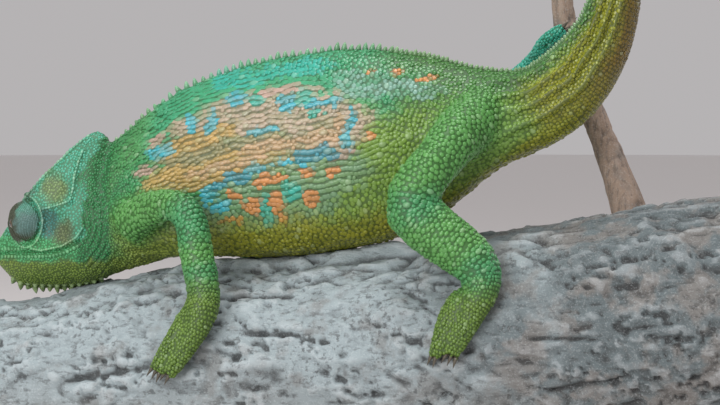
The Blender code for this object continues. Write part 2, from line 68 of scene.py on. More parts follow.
SIDES = {"left": -1, "right": 1}
TRUNK = ["neck", "chest", "belly", "hips"]
TAIL = [f"tail_{i}" for i in range(1, 6)]
HEAD = ["head", "lower_jaw"]
TURRETS = [f"turret_{side}" for side in SIDES]
LEGS = {f"{end}_{side}": end for end in ("front", "hind") for side in SIDES}
LEG_PARTS = ("upper", "lower", "outer_toes", "inner_toes")
OUTER_TOES = {"front": 2, "hind": 3}
FLESH = TRUNK + TAIL + HEAD + TURRETS + [f"{leg}_{part}" for leg in LEGS for part in LEG_PARTS]

# ---------------------------------------------------------------- skin
JOIN_SWELL = 0.25  # closes the thin cuts between the solids
VOXEL = 0.44
SMOOTHING = {"trunk": 50, "tail": 22, "head": 7, "upper": 16, "lower": 12, "toes": 5}
FINE_REACH = 1.5  # skin this close round an eye's opening is divided once more
NAPE_SMOOTHING = 45
WALK_STEP = 1.0  # between the slices that find the tail's middle
BORDERS = {"head": 6, "turret": 2, "tail": 60, "limb": 24}  # rounds that blur the edge of each part

# Lines of the head, seen from the side: distance behind the snout, height over the mouth's corner.
MOUTH_LINE = [(0, 0.2), (4.1, 0.7), (8.2, 0.8), (12.3, 1.0), (14.8, 1.6), (17.2, 2.8)]
LIP_RIDGE = [(6.7, 2.0), (10.7, 1.3), (14.4, 2.1), (16.8, 3.5), (17.8, 5.0)]
CANTHAL_CREST = [(0.9, 2.6), (3.0, 5.2), (5.0, 8.2), (8.2, 9.8)]
LATERAL_CREST = [(8.2, 9.8), (9.6, 12.0), (11.6, 14.0), (13.2, 15.4), (15.2, 17.4), (17.6, 19.4)]
TEMPORAL_CREST = [(10.9, 7.8), (12.6, 8.2), (14.2, 8.7), (15.6, 9.2)]
REAR_CREST = [(15.6, 9.2), (15.9, 11.0), (16.0, 13.0), (16.4, 15.2), (16.9, 17.0)]
NAPE_HOLLOW = [(20.9, 18.6), (20.2, 15.5), (19.8, 12.5), (20.4, 10.0)]
ORBIT = (8.0, 5.8, 2.75, 3.7)  # centre and half sizes of the ring round the turret
UPPER_TEMPLE = (12.6, 11.4, 2.2, 2.4)
LOWER_TEMPLE = (13.2, 5.2, 2.4, 2.6)
JAW_CORNER = (12.0, 6.0)  # the folds of the neck curve round this point
TURRET_REACH = 3.2  # half the width of a turret across the head
EYE_SET = 0.8  # depth of the eye's centre under the turret's surface
LID_RADIUS = 0.55
EYEBALL_RADIUS = 0.92
EYE_GAP = 0.02  # from the opening's centre to the eyeball
CLAW_RADIUS = 0.42
CLAW_TIP = 0.02
ROD_RADIUS = 2.5
COLLAR_RADIUS = 6.0
COLLAR_HEIGHT = 3.0
BRANCH_GRID = (350, 260)  # rings along the branch, and points round each
TWIG_GRID = (180, 40)
SMOOTH_ANGLE = math.radians(40)

# ---------------------------------------------------------------- scales
PITCH = {
    "trunk": 0.72, "tail": 0.6, "head": 0.42, "turret": 0.27, "upper": 0.78, "lower": 0.74, "toes": 0.56
}
LOOSE = {"trunk": 0.34, "tail": 0.2, "upper": 0.22, "lower": 0.2, "toes": 0.15}  # share of the pitch
KNOBS = {"trunk": 0.03, "tail": 0.02, "upper": 0.06, "lower": 0.07, "toes": 0.05}  # share of large scales
STRINGS = (-15.5, 84.0, 22.0, 10.5)  # middle and half sizes of the strings on the flank, in x and z
TAIL_KEELS = (0.13, 0.3, 0.46, 0.63)  # how far down the tail's side each keel runs
TURRET_RINGS = range(4, 24)
TURRET_SCALE = (0.17, 0.14, 0.07)  # half width, half length and height
FLANK_ROWS = 80
RING_RAYS = 72  # rays round a limb or the trunk that find the skin
FLANK_GIRTH = 52  # rings of the trunk longer than this have the same number of scales
COAT_SEED = 5
GAP_SEED = 7
GAP_AREA = 0.045  # skin for each try to fill a gap
SPINE_PITCH = 1.15
SPINE_HEIGHT = 1.15
GULAR_COUNT = 13
GULAR_HEIGHT = 0.95
PATCH = 0.003  # side of one scale's place, as a share of its map
UP = np.array([0, 0, 1.0])
BACKWARD = np.array([1.0, 0, 0])
LEANING = np.array([0.3, 0.2, 0.9])  # top side of a limb that may itself point up
TRAITS = ("under", "tail", "limb", "head", "turret")

# ---------------------------------------------------------------- studio, in metres and degrees
FLOOR_RADIUS = 3.0
LAMPS = (  # name, place, width and watts
    ("key", (-0.2, -0.5, 0.32), 0.35, 2.6),
    ("top", (0.02, -0.05, 0.6), 0.25, 1.8),
    ("rim", (0.4, 0.4, 0.35), 0.3, 0.8),
)
LAMP_AIM = (0, 0, 0.08)
CAMERA_AZIMUTH, CAMERA_ELEVATION = 10, 3
CAMERA_AIM, CAMERA_DISTANCE = (0, 0, 0.075), 0.3


def mm(points):
    """Points in metres, as an array in millimetres."""
    return np.array(points, dtype=float).reshape(-1, 3) / MM


def unit(vectors):
    vectors = np.asarray(vectors, dtype=float)
    return vectors / np.maximum(np.linalg.norm(vectors, axis=-1, keepdims=True), 1e-9)


def fade(values, low, high):
    """Smooth step from 0 at low to 1 at high."""
    share = np.clip((values - low) / (high - low), 0, 1)
    return share * share * (3 - 2 * share)


def window(values, low, full, end, gone):
    """0 below low, 1 from full to end, and 0 again above gone."""
    return fade(values, low, full) * (1 - fade(values, end, gone))


def bell(distance, width):
    return np.exp(-((distance / width) ** 2))


def box_mm(node):
    low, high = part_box(node)
    return mm(low)[0], mm(high)[0]


def middle(node):
    low, high = box_mm(node)
    return (low + high) / 2


def noise_at(points, size, seed=0.0):
    """Smooth noise from -1 to 1 at points, with features of the given size on each axis."""
    scaled = np.asarray(points) / np.asarray(size) + seed
    return np.array([noise.noise(Vector(point)) for point in scaled])


# ---------------------------------------------------------------- mesh helpers
def deselect():
    if bpy.context.mode != "OBJECT":
        bpy.ops.object.mode_set(mode="OBJECT")
    bpy.ops.object.select_all(action="DESELECT")


def make_active(obj):
    deselect()
    obj.select_set(True)
    bpy.context.view_layer.objects.active = obj


def apply_modifier(obj, kind, **settings):
    modifier = obj.modifiers.new(kind.title(), kind)
    for key, value in settings.items():
        setattr(modifier, key, value)
    make_active(obj)
    bpy.ops.object.modifier_apply(modifier=modifier.name)


def mesh_array(items, field, width, kind=float):
    flat = np.empty(len(items) * width, dtype=kind)
    items.foreach_get(field, flat)
    return flat.reshape(-1, width)


def mesh_points(mesh):
    return mesh_array(mesh.vertices, "co", 3) / MM


def mesh_normals(mesh):
    return mesh_array(mesh.vertices, "normal", 3)


def mesh_edges(mesh):
    return mesh_array(mesh.edges, "vertices", 2, np.int64)


def mesh_tree(mesh):
    points = [Vector(point) for point in mesh_points(mesh)]
    return BVHTree.FromPolygons(points, [face.vertices[:] for face in mesh.polygons])


def move_points(mesh, points):
    mesh.vertices.foreach_set("co", (points * MM).astype(np.float32).ravel())
    mesh.update()


def set_attribute(mesh, name, values):
    vector = np.ndim(values) == 2
    made = mesh.attributes.new(name, "FLOAT_VECTOR" if vector else "FLOAT", "POINT")
    flat = np.asarray(values, dtype=np.float32).ravel()
    made.data.foreach_set("vector" if vector else "value", flat)


def new_object(name, data):
    obj = bpy.data.objects.new(name, data)
    bpy.context.scene.collection.objects.link(obj)
    return obj


def new_primitive(kind, name, **settings):
    """One of Blender's own shapes, selected alone."""
    deselect()
    getattr(bpy.ops.mesh, f"primitive_{kind}_add")(**settings)
    obj = bpy.context.object
    obj.name = name
    return obj


def mesh_from_arrays(name, points, corners, sizes):
    """An object from points, the list of all face corners, and each face's number of corners."""
    mesh = bpy.data.meshes.new(name)
    mesh.vertices.add(len(points))
    move_points(mesh, points)
    mesh.loops.add(len(corners))
    mesh.loops.foreach_set("vertex_index", corners.astype(np.int32))
    mesh.polygons.add(len(sizes))
    starts = np.concatenate([[0], np.cumsum(sizes)[:-1]]).astype(np.int32)
    mesh.polygons.foreach_set("loop_start", starts)
    mesh.update(calc_edges=True)
    mesh.shade_smooth()
    return new_object(name, mesh)


def finish_piece(obj, material, slot, *replaced):
    """Gives a piece its finish and its body, and hides the nodes that it stands for."""
    obj.data.materials.clear()
    obj.data.materials.append(material)
    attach(obj, "root")
    if replaced:
        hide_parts(*replaced)
    return obj


# ---------------------------------------------------------------- frame measures
def cad_mesh(node):
    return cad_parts[node].data


def group_of(part):
    """The name under which a node's pitch and smoothing are kept."""
    for name, members in (("trunk", TRUNK), ("tail", TAIL), ("head", HEAD), ("turret", TURRETS)):
        if part in members:
            return name
    return "toes" if part.endswith("toes") else part.rsplit("_", 1)[1]


GROUPS = [group_of(part) for part in FLESH]


def part_indices(names):
    return {FLESH.index(name) for name in names}


def among(parts, names):
    return np.isin(parts, list(part_indices(names)))


def flesh_tree():
    """A tree of every flesh solid's triangles, and the part that owns each."""
    points, faces, owners = [], [], []
    for index, part in enumerate(FLESH):
        mesh = cad_mesh(part)
        base = len(points)
        points.extend(Vector(point) for point in mesh_points(mesh))
        faces.extend([base + i for i in face.vertices] for face in mesh.polygons)
        owners.extend([index] * len(mesh.polygons))
    return BVHTree.FromPolygons(points, faces), np.array(owners)


def joint_of(part, other):
    """Centre of the end that one solid turns to another."""
    tree = mesh_tree(cad_mesh(other))
    points = mesh_points(cad_mesh(part))
    near = [point for point in points if tree.find_nearest(Vector(point))[3] < 2 * JOIN_SWELL]
    return np.mean(near, axis=0)


HEAD_LOW, HEAD_HIGH = box_mm("head")
SNOUT = np.array([HEAD_LOW[0], 0, HEAD_LOW[2]])


def head_places(points):
    """Points as (distance behind the snout, height over the mouth)."""
    return (np.asarray(points) - SNOUT)[..., [0, 2]]


def turret_centre(side):
    centre = middle(f"turret_{side}")
    low, high = box_mm(f"turret_{side}")
    centre[1] = SIDES[side] * (max(abs(low[1]), abs(high[1])) - TURRET_REACH)
    return centre


def gaze(side):
    """Where an eye opens on its turret, and the way that it looks."""
    eye = middle(f"eye_{side}")
    direction = unit(eye - turret_centre(side))
    return eye + direction * EYE_SET, direction


def face_on(direction):
    """Two axes across a direction."""
    across = unit(np.cross(direction, UP))
    return across, np.cross(direction, across)


# ---------------------------------------------------------------- tubes
def spokes(first, second, count):
    """Directions all round, in the plane of two axes."""
    angles = np.linspace(0, 2 * math.pi, count, endpoint=False)[:, None]
    return np.cos(angles) * first + np.sin(angles) * second


def eased(points, share):
    """Catmull-Rom point at a share, 0 to 1, of a list of points."""
    place = share * (len(points) - 1)
    i = min(int(place), len(points) - 2)
    t = place - i
    a, b, c, d = (points[max(0, min(len(points) - 1, k))] for k in range(i - 1, i + 3))
    square, cube = 2 * a - 5 * b + 4 * c - d, 3 * b - a - 3 * c + d
    return 0.5 * (2 * b + (c - a) * t + square * t**2 + cube * t**3)


def curve(knots, count):
    return np.array([eased(knots, share) for share in np.linspace(0, 1, count)])


def relaxed(line, rounds):
    """A line with its inner points drawn between their neighbours."""
    for _ in range(rounds):
        line[1:-1] = (line[:-2] + 2 * line[1:-1] + line[2:]) / 4
    return line


def arc_lengths(line):
    """Length along a line up to each of its points."""
    return np.concatenate([[0], np.cumsum(np.linalg.norm(np.diff(line, axis=0), axis=1))])


def at_length(place, lengths, line):
    """Point of a line at a length from its start."""
    return np.array([np.interp(place, lengths, column) for column in line.T])


class Tube:
    """A centre line with a frame at every step, to lay rows of scales round a length of body."""

    STEP = 0.5

    def __init__(self, line, up):
        line = np.array(line)
        lengths = arc_lengths(line)
        self.length = lengths[-1]
        self.places = np.linspace(0, self.length, max(4, round(self.length / self.STEP)))
        columns = [np.interp(self.places, lengths, column) for column in line.T]
        self.line = np.stack(columns, axis=1)
        self.along = unit(np.gradient(self.line, axis=0))
        ups = []
        for direction in self.along:
            up = unit(up - direction * (up @ direction))
            ups.append(up)
        self.up = np.array(ups)
        self.side = np.cross(self.up, self.along)
        self.reach = np.full(len(self.line), np.inf)

    def heights(self, points):
        """Length along, and height over the centre line."""
        place, angle, distance = self.coordinates(points)
        return place, distance * np.cos(angle * math.pi)

    def measure(self, points):
        """Keeps how high the skin stands over the line at each step, to tell back from belly."""
        place, high = self.heights(points)
        steps = np.clip(np.round(place / self.STEP).astype(int), 0, len(self.line) - 1)
        tops = np.zeros(len(self.line))
        np.maximum.at(tops, steps, high)
        known = np.flatnonzero(tops > 0)
        self.reach = relaxed(np.interp(np.arange(len(tops)), known, tops[known]), 6)

    def lowness(self, points):
        """0 on the back's ridge and 1 under the belly."""
        place, high = self.heights(points)
        return (0.5 - 0.5 * high / np.interp(place, self.places, self.reach)).clip(0, 1)

    def at(self, place):
        """Centre, along, up and side at a length from the start."""
        return [at_length(place, self.places, row) for row in (self.line, self.along, self.up, self.side)]

    def coordinates(self, points):
        """Length along, angle from the top in turns of pi, and distance from the centre line."""
        found = []
        for chunk in np.array_split(points, max(1, len(points) // 4000)):
            gaps = ((chunk[:, None] - self.line[None]) ** 2).sum(axis=2)
            near = gaps.argmin(axis=1)
            offset = chunk - self.line[near]
            out = (offset * self.side[near]).sum(axis=1)
            high = (offset * self.up[near]).sum(axis=1)
            shift = (offset * self.along[near]).sum(axis=1)
            turns = np.arctan2(out, high) / math.pi
            found.append(np.stack([self.places[near] + shift, turns, np.hypot(out, high)]))
        return np.concatenate(found, axis=1)

    def ring(self, hide, place, allowed):
        """Skin points round the tube at a place, and which of them belong to it."""
        centre, along, up, side = self.at(place)
        directions = spokes(up, side, RING_RAYS)
        distances, own = np.zeros(RING_RAYS), np.zeros(RING_RAYS, dtype=bool)
        for k, direction in enumerate(directions):
            hit, _, face, distance = hide.tree.ray_cast(Vector(centre), Vector(direction))
            if hit is not None and hide.face_part[face] in allowed:
                distances[k], own[k] = distance, True
        if own.sum() < 4:
            return None
        known = np.flatnonzero(own)
        distances = np.interp(np.arange(RING_RAYS), known, distances[known], period=RING_RAYS)
        return centre + directions * distances[:, None], own, along


def trunk_line(points, end):
    """Middle of the trunk, slice by slice, up to a length from which the tail rises."""
    line = []
    for x in np.arange(points[:, 0].min() + 1.0, end, 1.0):
        near = points[np.abs(points[:, 0] - x) < 0.8]
        line.append([x, 0, (near[:, 2].max() + near[:, 2].min()) / 2])
    return relaxed(np.array(line), 12)


def walk(points, order, start, heading, reach):
    """Centre line of a tube of skin points, slice by slice. Order counts its parts from the start."""
    line, stretch = [np.array(start)], 0
    for _ in range(400):
        guess = line[-1] + heading * WALK_STEP
        offset = points - guess
        along = offset @ heading
        gaps = np.linalg.norm(offset, axis=1)
        here = order[np.where(np.abs(order - stretch) < 2, gaps, np.inf).argmin()]
        stretch = max(stretch, here)
        near = (np.abs(along) < 0.6 * WALK_STEP) & (gaps < reach) & (np.abs(order - stretch) < 2)
        if near.sum() < 8:
            break
        up = unit(np.cross([0, 1.0, 0], heading))
        heights, outs = offset[near] @ up, offset[near][:, 1]
        centre = guess + up * (heights.max() + heights.min()) / 2
        centre[1] = 0.0
        if len(line) > 6 and np.linalg.norm(line[:-5] - centre, axis=1).min() < 1.5 * WALK_STEP:
            break
        reach = 1.3 * max(np.ptp(heights), np.ptp(outs)) / 2 + 0.4
        turned = unit(centre - line[-1])
        heading = unit(heading * 0.4 + turned * 0.6)
        line.append(centre)
    return relaxed(np.array(line), 3)


def centred(line, points, first):
    """Moves a limb's line, from one share on, to the middle of the skin round it."""
    tube = Tube(line, LEANING)
    place, _, distance = tube.coordinates(points)
    moved = tube.line.copy()
    for i, here in enumerate(tube.places):
        near = (np.abs(place - here) < 0.7) & (distance < 6)
        if here < first * tube.length or near.sum() < 12:
            continue
        offset = points[near] - tube.line[i]
        for direction in (tube.up[i], tube.side[i]):
            reach = offset @ direction
            moved[i] += direction * (reach.max() + reach.min()) / 2
    return relaxed(moved, 4)


def claw_numbers(leg, outer):
    count = OUTER_TOES[LEGS[leg]]
    return range(1, count + 1) if outer else range(count + 1, 6)


def claws_middle(leg, outer):
    return np.mean([middle(f"{leg}_claw_{i}") for i in claw_numbers(leg, outer)], axis=0)


def claw_spread(leg, outer):
    """The way that a bundle's claws stand beside each other, and their number."""
    numbers = claw_numbers(leg, outer)
    first, last = (middle(f"{leg}_claw_{numbers[i]}") for i in (0, -1))
    return (last - first) / (len(numbers) - 1), len(numbers)


def build_tubes(points, parts):
    """Centre lines of the spine, of each leg out to its outer toes, and of each inner bundle."""
    hips_low, hips_high = box_mm("hips")
    rise_of_tail = hips_low[0] + 0.55 * (hips_high[0] - hips_low[0])
    line = trunk_line(points[among(parts, TRUNK)], rise_of_tail)
    tail = joint_of("tail_1", "hips")
    between = (line[-1] + tail) / 2
    in_tail = among(parts, ["hips"] + TAIL)
    names = [FLESH[part] for part in parts[in_tail]]
    order = np.array([TAIL.index(name) if name in TAIL else 0 for name in names])
    reach = (box_mm("tail_1")[1][1] + 1) * 1.6
    after = walk(points[in_tail], order, tail, unit(tail - between), reach)
    spine = Tube(relaxed(np.concatenate([line, [between], after]), 6), UP)
    spine.measure(points[among(parts, TRUNK + TAIL)])
    tubes = {"spine": (spine, part_indices(TRUNK + TAIL))}
    for leg, end in LEGS.items():
        names = [f"{leg}_{part}" for part in LEG_PARTS]
        hip = joint_of(names[0], "chest" if end == "front" else "hips")
        knee, ankle = joint_of(names[0], names[1]), joint_of(names[1], names[2])
        outer, inner = claws_middle(leg, True), claws_middle(leg, False)
        line = curve([hip + unit(hip - knee) * 3, hip, knee, ankle, outer], 60)
        for _ in range(2):
            line = centred(line, points[among(parts, names[:3])], 0.2)
        tubes[leg] = (Tube(line, UP if end == "front" else LEANING), part_indices(names[:3]))
        line = curve([ankle, (ankle + inner) / 2, inner], 20)
        line = centred(line, points[among(parts, names[3:])], 0.15)
        tubes[leg + "_inner"] = (Tube(line, LEANING), part_indices(names[3:]))
    return tubes


# ---------------------------------------------------------------- skin
def swollen_flesh():
    """Every flesh solid, grown enough to close the cuts, in one object."""
    whole = bmesh.new()
    eyes = [f"eye_{side}" for side in SIDES]
    for part in FLESH + eyes:
        piece = bmesh.new()
        piece.from_mesh(cad_mesh(part))
        bmesh.ops.remove_doubles(piece, verts=piece.verts, dist=1e-7)
        piece.normal_update()
        for vert in piece.verts:
            vert.co += vert.normal * (0 if part in eyes else JOIN_SWELL * MM)
        mesh = bpy.data.meshes.new(part)
        piece.to_mesh(mesh)
        piece.free()
        whole.from_mesh(mesh)
        bpy.data.meshes.remove(mesh)
    mesh = bpy.data.meshes.new("skin")
    whole.to_mesh(mesh)
    whole.free()
    return new_object("skin", mesh)


def keep_largest_island(mesh):
    bm = bmesh.new()
    bm.from_mesh(mesh)
    left, islands = set(bm.verts), []
    while left:
        edge_of_search = [left.pop()]
        island = set(edge_of_search)
        while edge_of_search:
            vert = edge_of_search.pop()
            for link in vert.link_edges:
                other = link.other_vert(vert)
                if other in left:
                    left.discard(other)
                    island.add(other)
                    edge_of_search.append(other)
        islands.append(island)
    islands.sort(key=len)
    for island in islands[:-1]:
        bmesh.ops.delete(bm, geom=list(island), context="VERTS")
    bm.to_mesh(mesh)
    bm.free()


def smoothed(points, edges, rounds):
    """Points after as many rounds of neighbour averaging as each one takes."""
    points, count = points.copy(), len(points)
    ends = np.concatenate([edges, edges[:, ::-1]])
    degree = np.bincount(ends[:, 0], minlength=count)
    for turn in range(int(rounds.max())):
        columns = [np.bincount(ends[:, 0], column[ends[:, 1]], count) / degree for column in points.T]
        points += (np.stack(columns, axis=1) - points) * (0.5 * np.clip(rounds - turn, 0, 1))[:, None]
    return points


def owners_of(points, tree, owners):
    return np.array([owners[tree.find_nearest(Vector(point))[2]] for point in points])


def divide_where(mesh, chosen):
    """Divides every face whose corners are all chosen."""
    bm = bmesh.new()
    bm.from_mesh(mesh)
    bm.verts.ensure_lookup_table()
    faces = [face for face in bm.faces if all(chosen[vert.index] for vert in face.verts)]
    edges = {edge for face in faces for edge in face.edges}
    bmesh.ops.subdivide_edges(bm, edges=list(edges), cuts=1, use_grid_fill=True)
    bm.to_mesh(mesh)
    bm.free()


def line_distance(places, line):
    """Distance of flat places from a line of points."""
    best = np.full(len(places), np.inf)
    for a, b in zip(np.array(line, dtype=float), np.array(line[1:], dtype=float)):
        share = np.clip((places - a) @ (b - a) / ((b - a) @ (b - a)), 0, 1)
        best = np.minimum(best, np.linalg.norm(places - a - share[:, None] * (b - a), axis=1))
    return best


def egg_distance(places, egg):
    """Distance from an egg's centre as a share of its radius on that side."""
    x, z, half_length, half_height = egg
    return np.hypot((places[:, 0] - x) / half_length, (places[:, 1] - z) / half_height)


def head_relief(points):
    """How far the head's skin stands out at each point."""
    places = head_places(points)
    behind, height = places.T
    flank = fade(np.abs(points[:, 1]), 0.8, 2.0)
    rise = -0.42 * bell(line_distance(places, MOUTH_LINE), 0.2)
    for shift, lift in ((0.62, 0.1), (-0.55, 0.14)):
        rise += lift * bell(line_distance(places - [0, shift], MOUTH_LINE), 0.3)
    orbit = egg_distance(places, ORBIT)
    rise += flank * (0.34 * bell(orbit - 1.1, 0.11) - 0.5 * bell(orbit - 0.93, 0.08))
    for egg, depth in ((UPPER_TEMPLE, 0.38), (LOWER_TEMPLE, 0.34)):
        rise -= depth * flank * (1 - fade(egg_distance(places, egg), 0.4, 1.15))
    for line, lift, width in (
        (CANTHAL_CREST, 0.22, 0.5),
        (LATERAL_CREST, 0.3, 0.5),
        (TEMPORAL_CREST, 0.26, 0.4),
        (REAR_CREST, 0.26, 0.4),
        (LIP_RIDGE, 0.2, 0.35),
    ):
        rise += lift * flank * bell(line_distance(places, line), width)
    nostril = np.hypot(behind - 1.9, height - 2.6)
    rise += flank * (0.1 * bell(nostril - 0.38, 0.16) - 0.3 * bell(nostril, 0.22))
    return rise


def neck_relief(points):
    """The hollow behind the casque, and folds that curve round the jaw's corner up to the shoulder."""
    places = head_places(points)
    behind, height = places.T
    rise = -0.45 * bell(line_distance(places, NAPE_HOLLOW), 0.9)
    distance = np.hypot(*(places - JAW_CORNER).T) + 0.35 * noise_at(points, 3.0)
    folded = window(height, -4.0, -1.0, 10.0, 14.0) * window(behind, 16.8, 18.0, 23.0, 29.0)
    creases = noise_at(points, (3.2, 3.2, 0.8), 5.0) * window(behind, 20.0, 23.0, 30.0, 36.0)
    slanted = (height - 0.5 * behind) / 1.15 + 0.6 * noise_at(points, 2.5, 6.0)
    side = window(behind, 18.5, 21.0, 27.0, 33.0) * fade(height, 3.0, 7.0)
    rise += (0.07 + 0.1 * noise_at(points, 2.2, 9.0)) * side * np.cos(2 * math.pi * slanted)
    uneven = 0.09 + 0.1 * noise_at(points, 1.8, 8.0)
    return rise + uneven * folded * np.cos(2 * math.pi * distance / 0.95) + 0.3 * creases


def trunk_relief(points):
    """Soft folds that run along the flank."""
    long_folds = noise_at(points, (7.0, 30.0, 1.5)) * 0.16
    return long_folds * window(points[:, 0], -38, -30, 14, 22)


def toe_relief(points, tube, leg, outer):
    """Grooves between the toes of a bundle."""
    place, _, _ = tube.coordinates(points)
    step, count = claw_spread(leg, outer)
    step_length = np.linalg.norm(step)
    across = (points - claws_middle(leg, outer)) @ (step / step_length)
    share = place / tube.length
    depth = fade(share, 0.72 if outer else 0.35, 0.9 if outer else 0.7)
    rise = np.zeros(len(points))
    for k in range(count - 1):
        rise -= 0.3 * depth * bell(across - (k - (count - 2) / 2) * step_length, 0.2)
    return rise


def keel_relief(points, spine, under, tail_weight, limb_weight):
    """Long keels from the hips down the sides of the tail."""
    _, _, distance = spine.coordinates(points)
    size = np.clip(distance / 4.5, 0, 1)
    bent = under + 0.04 * noise_at(points, 5.0, 2.0)
    waves = sum(bell(bent - keel, 0.035) for keel in TAIL_KEELS)
    weight = np.maximum(tail_weight, fade(points[:, 0], 15, 26) * (1 - limb_weight))
    return 0.85 * size * weight * (waves - 0.35)


def eye_relief(points):
    """A pit with a swollen lid round it where each eye looks out."""
    rise = np.zeros(len(points))
    for side in SIDES:
        opening, direction = gaze(side)
        offset = points - opening
        off_axis = np.linalg.norm(offset - (offset @ direction)[:, None] * direction, axis=1)
        near = np.linalg.norm(offset, axis=1) < 2.5
        lid = 0.16 * bell(off_axis - LID_RADIUS - 0.22, 0.2)
        lid -= 0.05 * bell(off_axis - LID_RADIUS - 0.6, 0.15)
        rise += near * (lid - 0.75 * (1 - fade(off_axis, LID_RADIUS * 0.6, LID_RADIUS)))
    return rise


class Hide:
    """The finished skin, with trees and labels for what stands on it."""

    def __init__(self, mesh, parts, tubes, traits):
        self.points, self.normals = mesh_points(mesh), mesh_normals(mesh)
        self.faces = [face.vertices[:] for face in mesh.polygons]
        self.tree = mesh_tree(mesh)
        self.parts, self.tubes, self.traits = parts, tubes, traits
        self.face_part = [parts[face[0]] for face in self.faces]

    def nearest(self, point):
        """Place, smooth normal and face of the skin nearest to a point."""
        place, _, face, _ = self.tree.find_nearest(Vector(point))
        corners = list(self.faces[face])
        return np.array(place), unit(self.normals[corners].sum(axis=0)), face


HIDE = {}  # the finished skin, kept for the operators that dress it


def soft_weights(members, parts, edges, rounds):
    """1 on the given parts and 0 elsewhere, blurred across the borders."""
    weights = among(parts, members).astype(float)[:, None]
    return smoothed(weights, edges, np.full(len(parts), float(rounds)))[:, 0]


def smooth_flesh(mesh, parts):
    """Smooths each part as much as it takes, and the nape most."""
    wanted = np.array([SMOOTHING.get(GROUPS[part], SMOOTHING["head"]) for part in parts], dtype=float)
    behind, height = head_places(mesh_points(mesh)).T
    at_nape = window(behind, 17, 19.5, 25, 28) * (1 - fade(height, 14, 17.5))
    wanted = np.maximum(wanted, NAPE_SMOOTHING * at_nape)
    edges = mesh_edges(mesh)
    rounds = smoothed(wanted[:, None], edges, np.full(len(parts), 8.0))[:, 0]
    move_points(mesh, smoothed(mesh_points(mesh), edges, rounds))


def build_skin():
    skin = swollen_flesh()
    apply_modifier(skin, "REMESH", mode="VOXEL", voxel_size=VOXEL * MM)
    mesh = skin.data
    keep_largest_island(mesh)
    tree, owners = flesh_tree()
    parts = owners_of(mesh_points(mesh), tree, owners)
    smooth_flesh(mesh, parts)
    divide_where(mesh, among(parts, HEAD + TURRETS))
    openings = [gaze(side)[0] for side in SIDES]
    points = mesh_points(mesh)
    gaps = [min(np.linalg.norm(point - opening) for opening in openings) for point in points]
    divide_where(mesh, [gap < FINE_REACH for gap in gaps])
    parts = owners_of(mesh_points(mesh), tree, owners)
    edges = mesh_edges(mesh)
    points = smoothed(mesh_points(mesh), edges, among(parts, HEAD + TURRETS).astype(float) * 3)
    move_points(mesh, points)
    tubes = build_tubes(points, parts)
    limbs = [name for name in FLESH if name.startswith(("front", "hind"))]
    members = {"head": HEAD + TURRETS, "turret": TURRETS, "tail": TAIL, "limb": limbs}
    traits = {name: soft_weights(members[name], parts, edges, BORDERS[name]) for name in members}
    spine = tubes["spine"][0]
    traits["under"] = spine.lowness(points)
    head, tail, limb = traits["head"], traits["tail"], traits["limb"]
    sizes = bpy.context.scene.chameleon_sizes
    rise = -(JOIN_SWELL + sizes.coat_depth / MM) + 0.1 * (1 - tail)
    rise += head_relief(points) * head + eye_relief(points)
    rise += neck_relief(points) * (1 - limb)
    rise += trunk_relief(points) * (1 - limb) * (1 - head)
    rise += keel_relief(points, spine, traits["under"], tail, limb)
    for leg in LEGS:
        for suffix, part in (("", "outer_toes"), ("_inner", "inner_toes")):
            toes = np.flatnonzero(among(parts, [f"{leg}_{part}"]))
            rise[toes] += toe_relief(points[toes], tubes[leg + suffix][0], leg, not suffix)
    move_points(mesh, points + mesh_normals(mesh) * rise[:, None])
    mesh.shade_smooth()
    for name, values in traits.items():
        set_attribute(mesh, name, values)
    set_attribute(mesh, "root", mesh_points(mesh))
    set_attribute(mesh, "tone", np.full(len(parts), 0.5))
    HIDE["skin"] = Hide(mesh, parts, tubes, traits)
    return skin


# ---------------------------------------------------------------- scales
DOME = ((1.0, -0.5, 0.0), (0.9, 0.4, 0.02), (0.55, 0.84, 0.1), (0.0, 1.0, 0.16))
PEBBLE = ((1.0, -0.5, 0.0), (0.76, 0.62, 0.05), (0.0, 1.0, 0.18))
BLUNT = ((1.0, -0.5, 0.0), (0.8, 0.05, 0.0), (0.4, 0.68, 0.06), (0.0, 1.0, 0.1))
SPIKE = ((1.0, -0.35, 0.0), (0.8, 0.28, 0.05), (0.48, 0.72, 0.2), (0.0, 1.0, 0.35))


